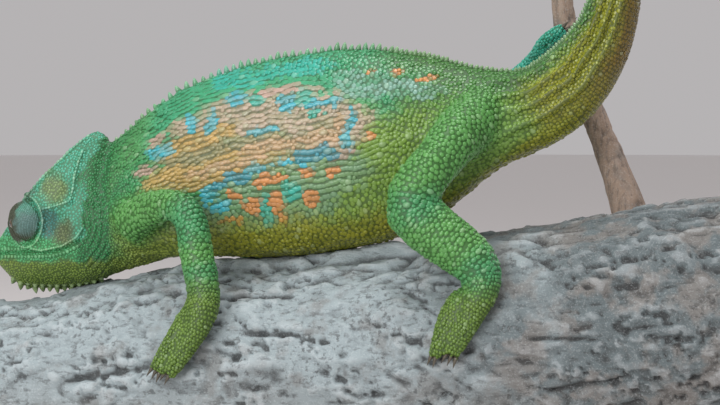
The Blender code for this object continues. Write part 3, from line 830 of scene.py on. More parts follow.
def raised_shapes(name, scales, profile, sides):
    """One mesh of many closed shapes. Each ring of the profile is radius, height and backward lean."""
    count = len(scales["root"])
    angles = np.linspace(0, 2 * math.pi, sides, endpoint=False)
    rings = [
        np.stack([np.cos(angles) * radius, np.sin(angles) * radius + lean, np.full(sides, height)], axis=1)
        for radius, height, lean in profile[:-1]
    ]
    tip = np.array([[0, profile[-1][2], profile[-1][1]]])
    local = np.concatenate([*rings, tip])
    normal = scales["normal"]
    lie = unit(scales["lie"] - normal * (scales["lie"] * normal).sum(axis=1, keepdims=True))
    axes = np.stack([np.cross(lie, normal), lie, normal], axis=1) * scales["size"][:, :, None]
    points = scales["root"][:, None] + np.einsum("vk,nkc->nvc", local, axes)
    faces = [list(reversed(range(sides)))]
    for r in range(len(rings) - 1):
        for k in range(sides):
            n = (k + 1) % sides
            faces.append([r * sides + k, r * sides + n, (r + 1) * sides + n, (r + 1) * sides + k])
    last = (len(rings) - 1) * sides
    faces.extend([last + k, last + (k + 1) % sides, len(local) - 1] for k in range(sides))
    corners = np.concatenate([np.array(face) for face in faces])
    all_corners = (np.arange(count)[:, None] * len(local) + corners[None]).ravel()
    sizes = np.tile([len(face) for face in faces], count)
    obj = mesh_from_arrays(name, points.reshape(-1, 3), all_corners, sizes)
    places = scales["map"][:, None] + local[None, :, :2] * PATCH / 2
    layer = obj.data.uv_layers.new(name="OFBake")
    layer.data.foreach_set("uv", places[:, corners].astype(np.float32).ravel())
    set_attribute(obj.data, "root", np.repeat(scales["root"], len(local), axis=0))
    for trait in ("tone", "pale", *TRAITS):
        set_attribute(obj.data, trait, np.repeat(scales[trait], len(local)))
    set_attribute(obj.data, "tip", np.tile(local[:, 2].clip(0, 1), count))
    return obj


class Coat:
    """Scales as they are laid: a place is taken only if nothing stands too near."""

    CELL = 1.0

    def __init__(self, hide, rng):
        self.hide, self.rng, self.rows, self.cells = hide, rng, [], {}

    def cell_of(self, point):
        return tuple(int(math.floor(c / self.CELL)) for c in point)

    def free(self, point, distance):
        for cell in itertools.product(*((c - 1, c, c + 1) for c in self.cell_of(point))):
            for other, room in self.cells.get(cell, ()):
                gap = max(distance, room)
                if sum((a - b) ** 2 for a, b in zip(point, other)) < gap * gap:
                    return False
        return True

    def add(self, point, lie, size, room, pale=0.0, kind="dome", parts=None, tone=None):
        """Lays a scale of half width, half length and height if its place is free and allowed."""
        root, normal, face = self.hide.nearest(point)
        part = self.hide.face_part[face]
        if parts is not None and part not in parts or not self.free(root, room):
            return
        self.cells.setdefault(self.cell_of(root), []).append((root, room))
        tone = self.rng.random() if tone is None else tone
        self.rows.append((root, normal, lie, size, pale, kind, part, face, tone))


def ring_round(egg, share, turns):
    """Points round an egg at a share of its radius."""
    x, z, half_length, half_height = egg
    return [(x + share * half_length * math.cos(t), z + share * half_height * math.sin(t)) for t in turns]


def lay_head_lines(coat):
    """Rows of larger scales along the crests, the lips and the ring of the orbit."""
    orbit = ring_round(ORBIT, 1.1, np.linspace(-0.74, 0.7, 60) * math.pi)
    upper_lip, lower_lip = ([(a, b + shift) for a, b in MOUTH_LINE] for shift in (0.62, -0.58))
    rows = (
        (LATERAL_CREST, 0.66, (0.34, 0.46, 0.32), 0.9),
        (CANTHAL_CREST, 0.56, (0.28, 0.38, 0.22), 0.5),
        (REAR_CREST, 0.52, (0.27, 0.37, 0.24), 0.75),
        (TEMPORAL_CREST, 0.48, (0.25, 0.34, 0.22), 0.75),
        (orbit, 0.4, (0.24, 0.32, 0.15), 0.7),
        (LIP_RIDGE, 0.44, (0.23, 0.34, 0.16), 0.7),
        (upper_lip, 0.62, (0.34, 0.3, 0.1), 0.35),
        (lower_lip, 0.62, (0.34, 0.3, 0.1), 0.35),
    )
    for line, pitch, size, pale in rows:
        line = np.array(line, dtype=float)
        lengths = arc_lengths(line)
        count = max(2, round(lengths[-1] / pitch))
        for place in (np.arange(count) + 0.5) / count * lengths[-1]:
            behind, height = at_length(place, lengths, line)
            onward = at_length(place + 0.2, lengths, line) - at_length(place - 0.2, lengths, line)
            for side in SIDES.values():
                start = Vector((SNOUT[0] + behind, side * 15, SNOUT[2] + height))
                hit = coat.hide.tree.ray_cast(start, Vector((0, -side, 0)))[0]
                if hit is not None and abs(hit.y) > 0.4:
                    vary = coat.rng.uniform(0.74, 1.16)
                    own_size = tuple(vary * part for part in size)
                    lie = np.array([onward[0], 0.0, onward[1]])
                    # Crest, orbit and lip scales get a pale amount: partly their own pale colour, partly
                    # painted highlight.
                    coat.add(hit, lie, own_size, 0.72 * pitch, pale * coat.rng.uniform(0.3, 1))


def lay_turret(coat, side):
    """Rings of fine scales round the eye's opening."""
    centre, direction = turret_centre(side), gaze(side)[1]
    across, other = face_on(direction)
    pitch = PITCH["turret"]
    allowed = part_indices(TURRETS)
    for ring in TURRET_RINGS:
        angle = ring * pitch / TURRET_REACH
        around = max(6, round(2 * math.pi * TURRET_REACH * math.sin(angle) / pitch))
        for k in range(around):
            turn = 2 * math.pi * (k + 0.5 * (ring % 2)) / around
            out = across * math.cos(turn) + other * math.sin(turn)
            ray = direction * math.cos(angle) + out * math.sin(angle)
            hit = coat.hide.tree.ray_cast(Vector(centre), Vector(ray), 4.6)[0]
            if hit is not None:
                coat.add(hit, ray - direction, TURRET_SCALE, 0.72 * pitch, parts=allowed)


def in_strings(point):
    """1 on the middle of the flank, where scales stand in wavy strings, and 0 where they are scattered."""
    x, z, half_length, half_height = STRINGS
    away = math.hypot((point[0] - x) / half_length, (point[2] - z) / half_height)
    return min(1.0, max(0.0, (1.15 - away) / 0.3))


def neck_fineness(x):
    """Scale size near the head as a share of that on the flank."""
    return 0.56 + 0.44 * float(fade(x, -38, -27))


def pitch_at(part, x):
    """A part's scale pitch, finer towards the head on the trunk."""
    return PITCH[GROUPS[part]] * (neck_fineness(x) if GROUPS[part] == "trunk" else 1)


def lay_rows(coat, tube, allowed, rng):
    """Rings of scales along a tube, each scale a little out of line."""
    place, ring = 0.0, 0
    while place < tube.length:
        found = tube.ring(coat.hide, place, allowed)
        if found is None:
            place += 0.5
            continue
        points, own, along = found
        closed = np.concatenate([points, points[:1]])
        lengths = arc_lengths(closed)
        girth = lengths[-1]
        part = coat.hide.face_part[coat.hide.nearest(points[np.flatnonzero(own)[0]])[2]]
        group, pitch = GROUPS[part], pitch_at(part, points[:, 0].mean())
        trunk, tail, limb = group == "trunk", group == "tail", group in ("upper", "lower")
        if tail:
            pitch *= 0.72 + 0.28 * min(1.0, girth / 25)
        stretch = 1.3 if limb else 1.0
        fitting = max(6, 2 * round(girth / pitch / stretch / 2))
        count = FLANK_ROWS if trunk and girth > FLANK_GIRTH else fitting
        width = girth / count
        loose = LOOSE[group]

        def step_at(want):
            return min(int(np.searchsorted(lengths, want, side="right")) - 1, len(points) - 1)

        for k in range(count):
            want = (k + 0.5) * width
            i = step_at(want)
            if not (own[i] and own[(i + 1) % len(own)]):
                continue
            line_up = in_strings(points[i]) if trunk else 0.0
            wave = 0.9 * noise.noise(Vector((place * 0.25, want * 0.18, 3.0)))
            wave += 0.6 * noise.noise(Vector((place * 0.7, want * 0.4, 7.0)))
            stray = (1 - line_up) * (rng.uniform(-loose, loose) + 0.5 * (ring % 2) - 0.25) * width
            want = (want + wave * line_up + stray) % girth
            i = step_at(want)
            share = (want - lengths[i]) / max(lengths[i + 1] - lengths[i], 1e-6)
            point = closed[i] + (closed[i + 1] - closed[i]) * share
            slack = 0.12 + (loose - 0.12) * (1 - line_up)
            point = point + along * rng.uniform(-1, 1) * pitch * slack
            knob = rng.random() < KNOBS[group]
            lift = 1 + 0.4 * noise.noise(Vector((place * 0.9, k * 0.8, 9.0)))
            if trunk:
                low = (points[:, 2].max() - point[2]) / np.ptp(points[:, 2])
                lift *= 0.32 + 0.3 * window(low, 0.1, 0.3, 0.7, 0.84) * (0.4 + 1.2 * line_up)
            elif tail:
                lift *= 0.45
            size = np.array([0.54 - 0.1 * line_up, 0.55 + 0.45 * line_up, 0.27 * lift])
            size = size * [width, pitch, pitch]
            size *= rng.uniform(0.84, 1.14) if trunk or tail else rng.uniform(0.7, 1.2)
            if knob:
                size = size * ([1.12, 1.0, 1.6] if limb else [1.3, 1.15, 1.7])
            tone = 0.5 + 0.55 * noise.noise(Vector((place * 0.35, k * 0.9, 5.0)))
            tone += rng.uniform(-0.25, 0.25)
            room = (0.72 - 0.06 * line_up) * min(width, pitch)
            # Large scales get a pale amount: partly their own pale colour, partly painted highlight.
            coat.add(point, along, tuple(size), room, 0.35 * knob, parts=allowed, tone=tone)
        place += (0.8 if limb else 0.88) * pitch
        ring += 1


def random_spots(hide):
    """Points spread evenly over the skin, and a corner of the face under each."""
    fans = [[(face[0], face[i], face[i + 1]) for i in range(1, len(face) - 1)] for face in hide.faces]
    triangles = np.array([triangle for fan in fans for triangle in fan])
    corners = hide.points[triangles]
    first = corners[:, 0]
    areas = np.linalg.norm(np.cross(corners[:, 1] - first, corners[:, 2] - first), axis=1) / 2
    seeds = np.random.default_rng(GAP_SEED)
    chosen = seeds.choice(len(areas), size=int(areas.sum() / GAP_AREA), p=areas / areas.sum())
    a, b = seeds.random((2, len(chosen), 1))
    flip = a + b > 1
    a, b = np.where(flip, 1 - a, a), np.where(flip, 1 - b, b)
    spots = corners[chosen, 0] * (1 - a - b) + corners[chosen, 1] * a + corners[chosen, 2] * b
    return spots, triangles[chosen, 0]


def fill_gaps(coat, rng):
    """Scales wherever the rows left skin bare: between limbs and body, on the head, in the folds."""
    hide = coat.hide
    from_neck = hide.tubes["spine"][0].at(0.0)[1]
    openings = [gaze(side)[0] for side in SIDES]

    def on_lid(spot):
        return min(np.linalg.norm(spot - opening) for opening in openings) < LID_RADIUS + 0.5

    for spot, corner in zip(*random_spots(hide)):
        part = hide.parts[corner]
        group, pitch = GROUPS[part], pitch_at(part, spot[0])
        if group == "turret" and on_lid(spot):
            continue
        flat, share = (0.16, 0.8) if group == "head" else (0.28, 0.78)
        room = share * pitch
        if not coat.free(spot, room):
            continue
        size = np.array([0.56, 0.56, flat]) * pitch * rng.uniform(0.88, 1.12)
        lie = from_neck if group in ("head", "turret") else BACKWARD
        coat.add(spot, lie, tuple(size), room)


def lay_crest(coat):
    """Pointed scales along the ridge of the back and tail, and under the chin."""
    hide, rng = coat.hide, coat.rng
    spine, allowed = hide.tubes["spine"]
    place = 0.6
    while place < spine.length - 3:
        share = place / spine.length
        centre, along, up, _ = spine.at(place)
        at_head = fade(share, 0.02, 0.12)
        pitch = SPINE_PITCH * (1 - 0.35 * fade(share, 0.25, 0.45)) * (1 - 0.3 * fade(share, 0.5, 1.0))
        height = rng.uniform(0.72, 1.1) * SPINE_HEIGHT
        height *= (1 - 0.35 * fade(share, 0.3, 0.45)) * (1 - 0.6 * fade(share, 0.45, 1.0))
        height *= 0.55 + 0.45 * at_head
        pitch *= 0.75 + 0.25 * at_head
        hit, _, face, _ = hide.tree.ray_cast(Vector(centre), Vector(up))
        if hit is not None and hide.face_part[face] in allowed:
            half = 0.3 + 0.16 * height
            size = (half * 0.85, half * 1.15, height)
            coat.add(hit, along, size, 0.6 * pitch, rng.uniform(0.5, 1.0), "spine")
        place += pitch
    for k in range(GULAR_COUNT):
        share = 0.2 + 0.68 * k / (GULAR_COUNT - 1)
        x = HEAD_LOW[0] + (HEAD_HIGH[0] - HEAD_LOW[0]) * share
        for row, lift, shift in ((0, 1.0, 0.0), (-1, 0.55, 0.5), (1, 0.55, 0.5)):
            start = Vector((x + shift * 0.8, row * 1.15, SNOUT[2] - 12))
            hit = hide.tree.ray_cast(start, Vector(UP))[0]
            if hit is not None:
                height = GULAR_HEIGHT * lift * (0.85 + 0.25 * math.sin(k * 2.4))
                coat.add(hit, BACKWARD, (0.5, 0.62, height), 0.6, 0.75, "lobe")


def map_places(hide, roots, parts):
    """Where each scale lies on its piece's map: body and tail, head, turrets and limbs apart."""
    place, angle, _ = hide.tubes["spine"][0].coordinates(roots)
    maps = np.stack([place / hide.tubes["spine"][0].length, angle / 2 + 0.5], axis=1)
    head = among(parts, HEAD)
    behind, out, high = (roots[head] - [SNOUT[0], 0, SNOUT[2] + 5]).T
    maps[head] = np.stack([behind / 26, 0.35 + 0.3 * np.arctan2(out, high) / math.pi], axis=1)
    for n, side in enumerate(SIDES):
        on_turret = among(parts, [f"turret_{side}"])
        direction = gaze(side)[1]
        across, other = face_on(direction)
        rays = unit(roots[on_turret] - turret_centre(side))
        tilt = 0.22 * np.arccos((rays @ direction).clip(-1, 1)) / math.pi
        turn = np.arctan2(rays @ other, rays @ across)
        flat = [0.2 + 0.6 * n + tilt * np.cos(turn), 0.84 + tilt * np.sin(turn)]
        maps[on_turret] = np.stack(flat, axis=1)
    for leg in LEGS:
        for suffix, offset, width in (("", 0.0, 0.3), ("_inner", 0.32, 0.16)):
            tube, allowed = hide.tubes[leg + suffix]
            own = np.isin(parts, list(allowed))
            place, angle, _ = tube.coordinates(roots[own])
            start = (0.0 if leg.endswith("left") else 0.5) + offset
            maps[own] = np.stack([place / tube.length, start + width * (angle / 2 + 0.5)], axis=1)
    return maps


def pick(data, maps, chosen):
    """The chosen scales, with their map places spread over the whole map."""
    picked = {name: values[chosen] for name, values in data.items()}
    places = maps[chosen]
    low, high = places.min(axis=0), places.max(axis=0)
    picked["map"] = 0.01 + 0.98 * (places - low) / (high - low)
    return picked


def coat_pieces(coat):
    """The laid scales, sorted into pieces by body part, each with its shape and number of sides."""
    hide = coat.hide
    names = ("root", "normal", "lie", "size", "pale", "kind", "part", "face", "tone")
    data = {name: np.array(column) for name, column in zip(names, zip(*coat.rows))}
    roots, parts, kinds = data["root"], data["part"], data["kind"]
    corners = [hide.faces[face][0] for face in data["face"]]
    for name, values in hide.traits.items():
        data[name] = values[corners]
    maps = map_places(hide, roots, parts)
    trunk = among(parts, TRUNK)
    front, left = roots[:, 0] < middle("belly")[0], roots[:, 1] < 0
    groups = {
        "scales_head": among(parts, HEAD + TURRETS),
        "scales_front_body_left": trunk & front & left,
        "scales_front_body_right": trunk & front & ~left,
        "scales_rear_body_left": trunk & ~front & left,
        "scales_rear_body_right": trunk & ~front & ~left,
        "scales_tail": among(parts, TAIL),
    }
    for end in OUTER_TOES:
        legs = [part for part in FLESH if part.startswith(end)]
        groups[f"scales_{end}_legs"] = among(parts, legs)
    made = []
    for name, chosen in groups.items():
        shape = (PEBBLE, 6) if name == "scales_head" else (DOME, 8)
        made.append((name, pick(data, maps, chosen & (kinds == "dome")), *shape))
    made.append(("crest_spines", pick(data, maps, kinds == "spine"), SPIKE, 8))
    made.append(("gular_lobes", pick(data, maps, kinds == "lobe"), BLUNT, 8))
    return made


# ---------------------------------------------------------------- eyes and claws
def bake_places(obj):
    """Leaves an object at the origin with its shape where it stood."""
    make_active(obj)
    bpy.ops.object.transform_apply(location=True, rotation=True, scale=True)


def make_eye(side):
    """An eyeball set into its turret, looking out of the opening."""
    opening, direction = gaze(side)
    centre = opening - direction * (EYEBALL_RADIUS + EYE_GAP)
    sphere = {"segments": 40, "ring_count": 24, "radius": EYEBALL_RADIUS * MM}
    eye = new_primitive("uv_sphere", f"eyeball_{side}", **sphere)
    eye.rotation_euler = Vector(direction).to_track_quat("Z", "Y").to_euler()
    eye.location = centre * MM
    bake_places(eye)
    bpy.ops.object.shade_smooth()
    offset = mesh_points(eye.data) - centre
    set_attribute(eye.data, "turn", np.arccos((unit(offset) @ direction).clip(-1, 1)))
    return eye


def make_claw(leg, number):
    """A hooked claw in the place of its cone, thick at the toe and turned down at the tip."""
    points = mesh_points(cad_mesh(f"{leg}_claw_{number}"))
    centre = points.mean(axis=0)
    toes = middle(f"{leg}_{'outer' if number <= OUTER_TOES[LEGS[leg]] else 'inner'}_toes")
    tip = points[np.argmax(np.linalg.norm(points - toes, axis=1))]
    base = centre + (centre - tip) * 2.1
    length = np.linalg.norm(tip - base)
    cone = {"vertices": 12, "radius1": CLAW_RADIUS * MM, "radius2": CLAW_TIP * MM, "depth": length * MM}
    claw = new_primitive("cone", f"claw_{leg}_{number}", **cone)
    bpy.ops.object.mode_set(mode="EDIT")
    bpy.ops.mesh.select_all(action="SELECT")
    bpy.ops.mesh.subdivide(number_cuts=3)
    bpy.ops.object.mode_set(mode="OBJECT")
    claw.rotation_euler = Vector(tip - base).to_track_quat("Z", "Y").to_euler()
    claw.location = (base + tip) / 2 * MM
    bake_places(claw)
    shape = mesh_points(claw.data)
    along = ((shape - base) @ unit(tip - base)) / length
    hooks_to = [0.3, -1.0, 0.2] if leg == "hind_right" else [0, -np.sign(base[1]), -0.6]
    bend = 0.3 * length * (along**2 - 0.6 * along)
    move_points(claw.data, shape + unit(np.array(hooks_to)) * bend[:, None])
    bpy.ops.object.shade_smooth()
    return claw


# ---------------------------------------------------------------- perch and stand
def round_grid(name, rings):
    """A closed tube from rings of points, with a fan of triangles over each end."""
    count, sides = len(rings), len(rings[0])
    points = np.concatenate([np.concatenate(rings), [rings[0].mean(axis=0)], [rings[-1].mean(axis=0)]])
    i, j = np.meshgrid(np.arange(count - 1), np.arange(sides), indexing="ij")
    n = (j + 1) % sides
    quads = [i * sides + j, (i + 1) * sides + j, (i + 1) * sides + n, i * sides + n]
    quads = np.stack(quads, axis=-1).reshape(-1, 4)
    j = np.arange(sides)
    n = (j + 1) % sides
    first, last = count * sides, count * sides + 1
    starts = np.stack([np.full(sides, first), j, n], axis=1)
    ends = np.stack([np.full(sides, last), (count - 1) * sides + n, (count - 1) * sides + j], axis=1)
    corners = np.concatenate([quads.ravel(), starts.ravel(), ends.ravel()])
    sizes = np.array([4] * len(quads) + [3] * (2 * sides))
    return mesh_from_arrays(name, points, corners, sizes)


def gap_above(trees, point):
    """Free height over a point under the animal, or 3 where nothing is near."""
    start = Vector((point[0], point[1], point[2] - 0.4))
    hits = [tree.ray_cast(start, Vector(UP), 4.0)[3] for tree in trees]
    return min((hit - 0.4 for hit in hits if hit is not None), default=3.0)


def blurred(grid, rounds):
    """A grid of values round a tube, blurred round it and along it."""
    for _ in range(rounds):
        grid = (np.roll(grid, 1, axis=1) + np.roll(grid, -1, axis=1)) / 4 + grid / 2
        grid[1:-1] = (grid[:-2] + grid[2:]) / 4 + grid[1:-1] / 2
    return grid


def wood_rings(node, line, grid, bark, loads=()):
    """Rings of points round a line, out to the solid's surface, roughened as bark."""
    count, sides = grid
    tree = mesh_tree(cad_mesh(node))
    line = curve(line, count)
    along = unit(np.gradient(line, axis=0))
    rings = []
    side = unit(np.cross(along[0], [0.2, 0.1, 1.0]))
    reach = np.full(sides, 1.0)
    for centre, direction in zip(line, along):
        side = unit(side - direction * (side @ direction))
        up = np.cross(direction, side)
        rays = spokes(side, up, sides)
        for k, ray in enumerate(rays):
            hit = tree.ray_cast(Vector(centre), Vector(ray))
            if hit[0] is not None:
                reach[k] = hit[3]
        rings.append(centre + rays * reach[:, None])
    rings = np.array(rings)
    for _ in range(2):
        rings = (np.roll(rings, 1, axis=1) + 2 * rings + np.roll(rings, -1, axis=1)) / 4
    flat = rings.reshape(-1, 3)
    outward = unit(flat - np.repeat(line, sides, axis=0))
    rise = bark(flat, outward)
    if loads:
        spots = zip(flat, outward, rise)
        gaps = np.array([gap_above(loads, point + ray * lift) for point, ray, lift in spots])
        gaps = (gaps * (1 - fade(gaps, 1.6, 2.6))).reshape(count, sides)
        rise += blurred(gaps, 6).ravel()
    hollow = (blurred(rise.reshape(count, sides), 14).ravel() - rise) / 0.5
    return (flat + outward * rise[:, None]).reshape(count, sides, 3), hollow


def ridged(points, size, seed):
    """Sharp cracks: 1 along the lines where smooth noise passes zero, 0 elsewhere."""
    return bell(noise_at(points, size, seed), 0.09)


def branch_bark(points, outward):
    """Height of the branch's surface: lumps, flaking crust, pits and long cracks."""
    swell = 1.3 * bell(points[:, 0] + 36, 14) * fade(outward[:, 2], 0.3, 0.9)
    rise = swell + 0.7 * noise_at(points, (20, 9, 9)) + 0.55 * noise_at(points, (7, 4.5, 4.5), 4.0)
    rough = fade(noise_at(points, (10, 6, 6), 20.0), -0.2, 0.25)
    crust = noise_at(points, (3.4, 2.4, 2.4), 12.0)
    crust = crust + 0.55 * noise_at(points, 1.5, 14.0) + 0.3 * noise_at(points, 0.8, 18.0)
    rise += (0.1 + 0.34 * rough) * crust
    rise += 0.28 * fade(noise_at(points, (5.5, 3, 3), 40.0) + 0.2 * crust, 0.02, 0.1)
    rise -= 0.9 * ridged(points, (26, 5, 5), 16.0) * fade(noise_at(points, (15, 8, 8), 20.0), 0.0, 0.25)
    rise -= 0.5 * ridged(points, (7, 3, 3), 30.0) * fade(noise_at(points, (9, 6, 6), 34.0), 0.05, 0.2)
    flecks = noise_at(points, (2.2, 1.2, 1.2), 24.0) + 0.4 * noise_at(points, 0.8, 26.0)
    rise -= 0.5 * (0.25 + rough) * fade(flecks, 0.28, 0.42)
    return rise - 0.1


def twig_bark(points, outward):
    rise = 0.16 * noise_at(points, (2, 2, 9)) + 0.08 * noise_at(points, (0.7, 0.7, 2.4), 4.0)
    return rise - 0.14 * ridged(points, (1.6, 1.6, 12), 8.0)


def cut_end(rings, last):
    """Rounds the rim of a cut end."""
    for index, share in zip((-1, -2) if last else (0, 1), (0.965, 0.99)):
        centre = rings[index].mean(axis=0)
        rings[index] = centre + (rings[index] - centre) * share
    return rings


def slice_line(node, axis, count):
    """Middles of a long solid's slices, from its low end to its high end."""
    mesh = cad_mesh(node)
    heights = mesh_points(mesh)[:, axis]
    bm = bmesh.new()
    bm.from_mesh(mesh)
    normal = Vector([float(axis == i) for i in range(3)])
    line = []
    for share in np.linspace(0.04, 0.96, count):
        level = heights.min() + share * (heights.max() - heights.min())
        geometry = bm.verts[:] + bm.edges[:] + bm.faces[:]
        cut = bmesh.ops.bisect_plane(bm, geom=geometry, plane_co=normal * level * MM, plane_no=normal)
        spots = mm([item.co for item in cut["geom_cut"] if isinstance(item, bmesh.types.BMVert)])
        line.append((spots.max(axis=0) + spots.min(axis=0)) / 2)
    bm.free()
    return np.array(line)


def lengthened(line, ends):
    """A line carried on at both ends by the given lengths."""
    first, last = unit(line[0] - line[1]) * ends[0], unit(line[-1] - line[-2]) * ends[1]
    return np.concatenate([[line[0] + first], line, [line[-1] + last]])


def make_branch():
    line = slice_line("perch_branch", 0, 12)
    low, high = box_mm("perch_branch")
    line = lengthened(line, (line[0][0] - low[0] - 2.2, high[0] - line[-1][0] - 2.2))
    loads = [mesh_tree(cad_mesh(part)) for part in TRUNK[1:]]
    rings, hollow = wood_rings("perch_branch", line, BRANCH_GRID, branch_bark, loads)
    branch = round_grid("branch", list(cut_end(cut_end(rings, False), True)))
    set_attribute(branch.data, "hollow", np.concatenate([hollow, [0.2, 0.2]]))
    return branch


def make_twig():
    line = slice_line("perch_twig", 2, 10)
    line = lengthened(line, (0.5, 0.3))
    rings, hollow = wood_rings("perch_twig", line, TWIG_GRID, twig_bark)
    twig = round_grid("twig", list(cut_end(rings, True)))
    set_attribute(twig.data, "hollow", np.concatenate([hollow * 2, [0.2, 0.2]]))
    return twig


def make_base():
    """A wooden block with rounded edges."""
    low, high = box_mm("stand_base")
    base = new_primitive("cube", "base", size=1)
    base.scale = (high - low) * MM
    base.location = (high + low) / 2 * MM
    bake_places(base)
    apply_modifier(base, "BEVEL", width=1.1 * MM, segments=4)
    make_active(base)
    bpy.ops.object.shade_smooth_by_angle(angle=SMOOTH_ANGLE)
    return base


def make_rod(end):
    """A steel rod that stands in a collar and ends inside the branch."""
    low, high = box_mm(f"stand_rod_{end}")
    centre = (low + high) / 2
    pieces = []
    tubes = ((COLLAR_RADIUS, low[2] + COLLAR_HEIGHT, 0.5), (ROD_RADIUS, high[2], 0.2))
    for radius, top, bevel in tubes:
        size = {"radius": radius * MM, "depth": (top - low[2]) * MM}
        piece = new_primitive("cylinder", f"rod_{end}", vertices=48, **size)
        piece.location = Vector((centre[0], centre[1], (top + low[2]) / 2)) * MM
        bake_places(piece)
        apply_modifier(piece, "BEVEL", width=bevel * MM, segments=3)
        pieces.append(piece)
    deselect()
    for piece in pieces:
        piece.select_set(True)
    bpy.context.view_layer.objects.active = pieces[0]
    bpy.ops.object.join()
    bpy.ops.object.shade_smooth_by_angle(angle=SMOOTH_ANGLE)
    return pieces[0]


# ---------------------------------------------------------------- shader graphs
class Value:
    """A number or vector in a shader. Arithmetic on it adds Math nodes."""

    def __init__(self, graph, socket):
        self.graph, self.socket = graph, socket

    def __add__(self, other):
        return self.graph.math("ADD", self, other)

    def __sub__(self, other):
        return self.graph.math("SUBTRACT", self, other)

    def __rsub__(self, other):
        return self.graph.math("SUBTRACT", other, self)

    def __mul__(self, other):
        return self.graph.math("MULTIPLY", self, other)

    def __pow__(self, other):
        return self.graph.math("POWER", self, other)

    __radd__ = __add__
    __rmul__ = __mul__


def socket_name(key):
    return key.replace("_", " ").title().replace("Ior", "IOR")


class Graph:
    """A material whose nodes are added by calls."""

    def __init__(self, name, **constants):
        self.material = bpy.data.materials.new(name)
        self.material.use_nodes = True
        self.tree = self.material.node_tree
        self.shader = self.tree.nodes["Principled BSDF"]
        for key, value in constants.items():
            self.shader.inputs[socket_name(key)].default_value = value

    def node(self, kind, settings=None, inputs=None, output=0):
        """Any node: its settings are set first, then its sockets by name or number."""
        made = self.tree.nodes.new("ShaderNode" + kind)
        for key, value in (settings or {}).items():
            setattr(made, key, value)
        for key, value in (inputs or {}).items():
            self.put(made.inputs[key], value)
        return Value(self, made.outputs[output])

    def put(self, socket, value):
        if isinstance(value, Value):
            self.tree.links.new(value.socket, socket)
        elif isinstance(value, (tuple, list)) and len(socket.default_value) == 4:
            socket.default_value = (*value[:3], 1.0)
        else:
            socket.default_value = value

    def math(self, operation, *values):
        return self.node("Math", {"operation": operation}, dict(enumerate(values)))

    def vector(self, operation, *values, output=0):
        return self.node("VectorMath", {"operation": operation}, dict(enumerate(values)), output)

    def mix(self, factor, a, b, blend="MIX"):
        """Colours a and b mixed."""
        settings = {"data_type": "RGBA", "blend_type": blend}
        return self.node("Mix", settings, {0: factor, 6: a, 7: b}, 2)

    def tinted(self, colour, tint):
        return self.mix(1.0, colour, tint, "MULTIPLY")

    def over(self, colour, *layers):
        """A colour with layers of (factor, colour) over it, the last on top."""
        for factor, layer in layers:
            colour = self.mix(factor, colour, layer)
        return colour

    def largest(self, values):
        return functools.reduce(lambda a, b: self.math("MAXIMUM", a, b), values)

    def smooth(self, value, low, high):
        """0 at low and 1 at high, with soft ends."""
        settings = {"interpolation_type": "SMOOTHSTEP"}
        if low > high:
            return 1 - self.smooth(value, high, low)
        return self.node("MapRange", settings, {"Value": value, "From Min": low, "From Max": high})

    def axes(self, vector):
        parts = self.tree.nodes.new("ShaderNodeSeparateXYZ")
        self.put(parts.inputs[0], vector)
        return [Value(self, output) for output in parts.outputs]

    def combine(self, x, y, z):
        return self.node("CombineXYZ", None, {0: x, 1: y, 2: z})

    def attribute(self, name, output="Fac"):
        return self.node("Attribute", {"attribute_name": name}, output=output)

    def place(self):
        """Object coordinates in millimetres."""
        return self.scaled(self.node("TexCoord", output="Object"), 1 / MM)

    def scaled(self, vector, factor):
        return self.node("VectorMath", {"operation": "SCALE"}, {0: vector, "Scale": factor})

    def egg(self, places, x, z, half_length, half_height):
        """Distance from an egg's centre as a share of its radius on that side."""
        offset = self.vector("SUBTRACT", places, (x, z, 0.0))
        stretch = (1 / half_length, 1 / half_height, 0.0)
        return self.vector("LENGTH", self.vector("MULTIPLY", offset, stretch), output=1)

    def noise(self, vector, size, detail=2.0, roughness=0.5, output="Fac"):
        """Noise with features of the given size in millimetres."""
        sockets = {"Vector": vector, "Scale": 1.0 / size, "Detail": detail, "Roughness": roughness}
        return self.node("TexNoise", None, sockets, output)

    def bump(self, height, strength, distance):
        """Bump from a height, where distance is its depth in millimetres."""
        return self.node("Bump", None, {"Strength": strength, "Distance": distance * MM, "Height": height})

    def finish(self, **links):
        for key, value in links.items():
            self.put(self.shader.inputs[socket_name(key)], value)
        return self.material


BLEACHED = (0.7, 0.74, 0.76)

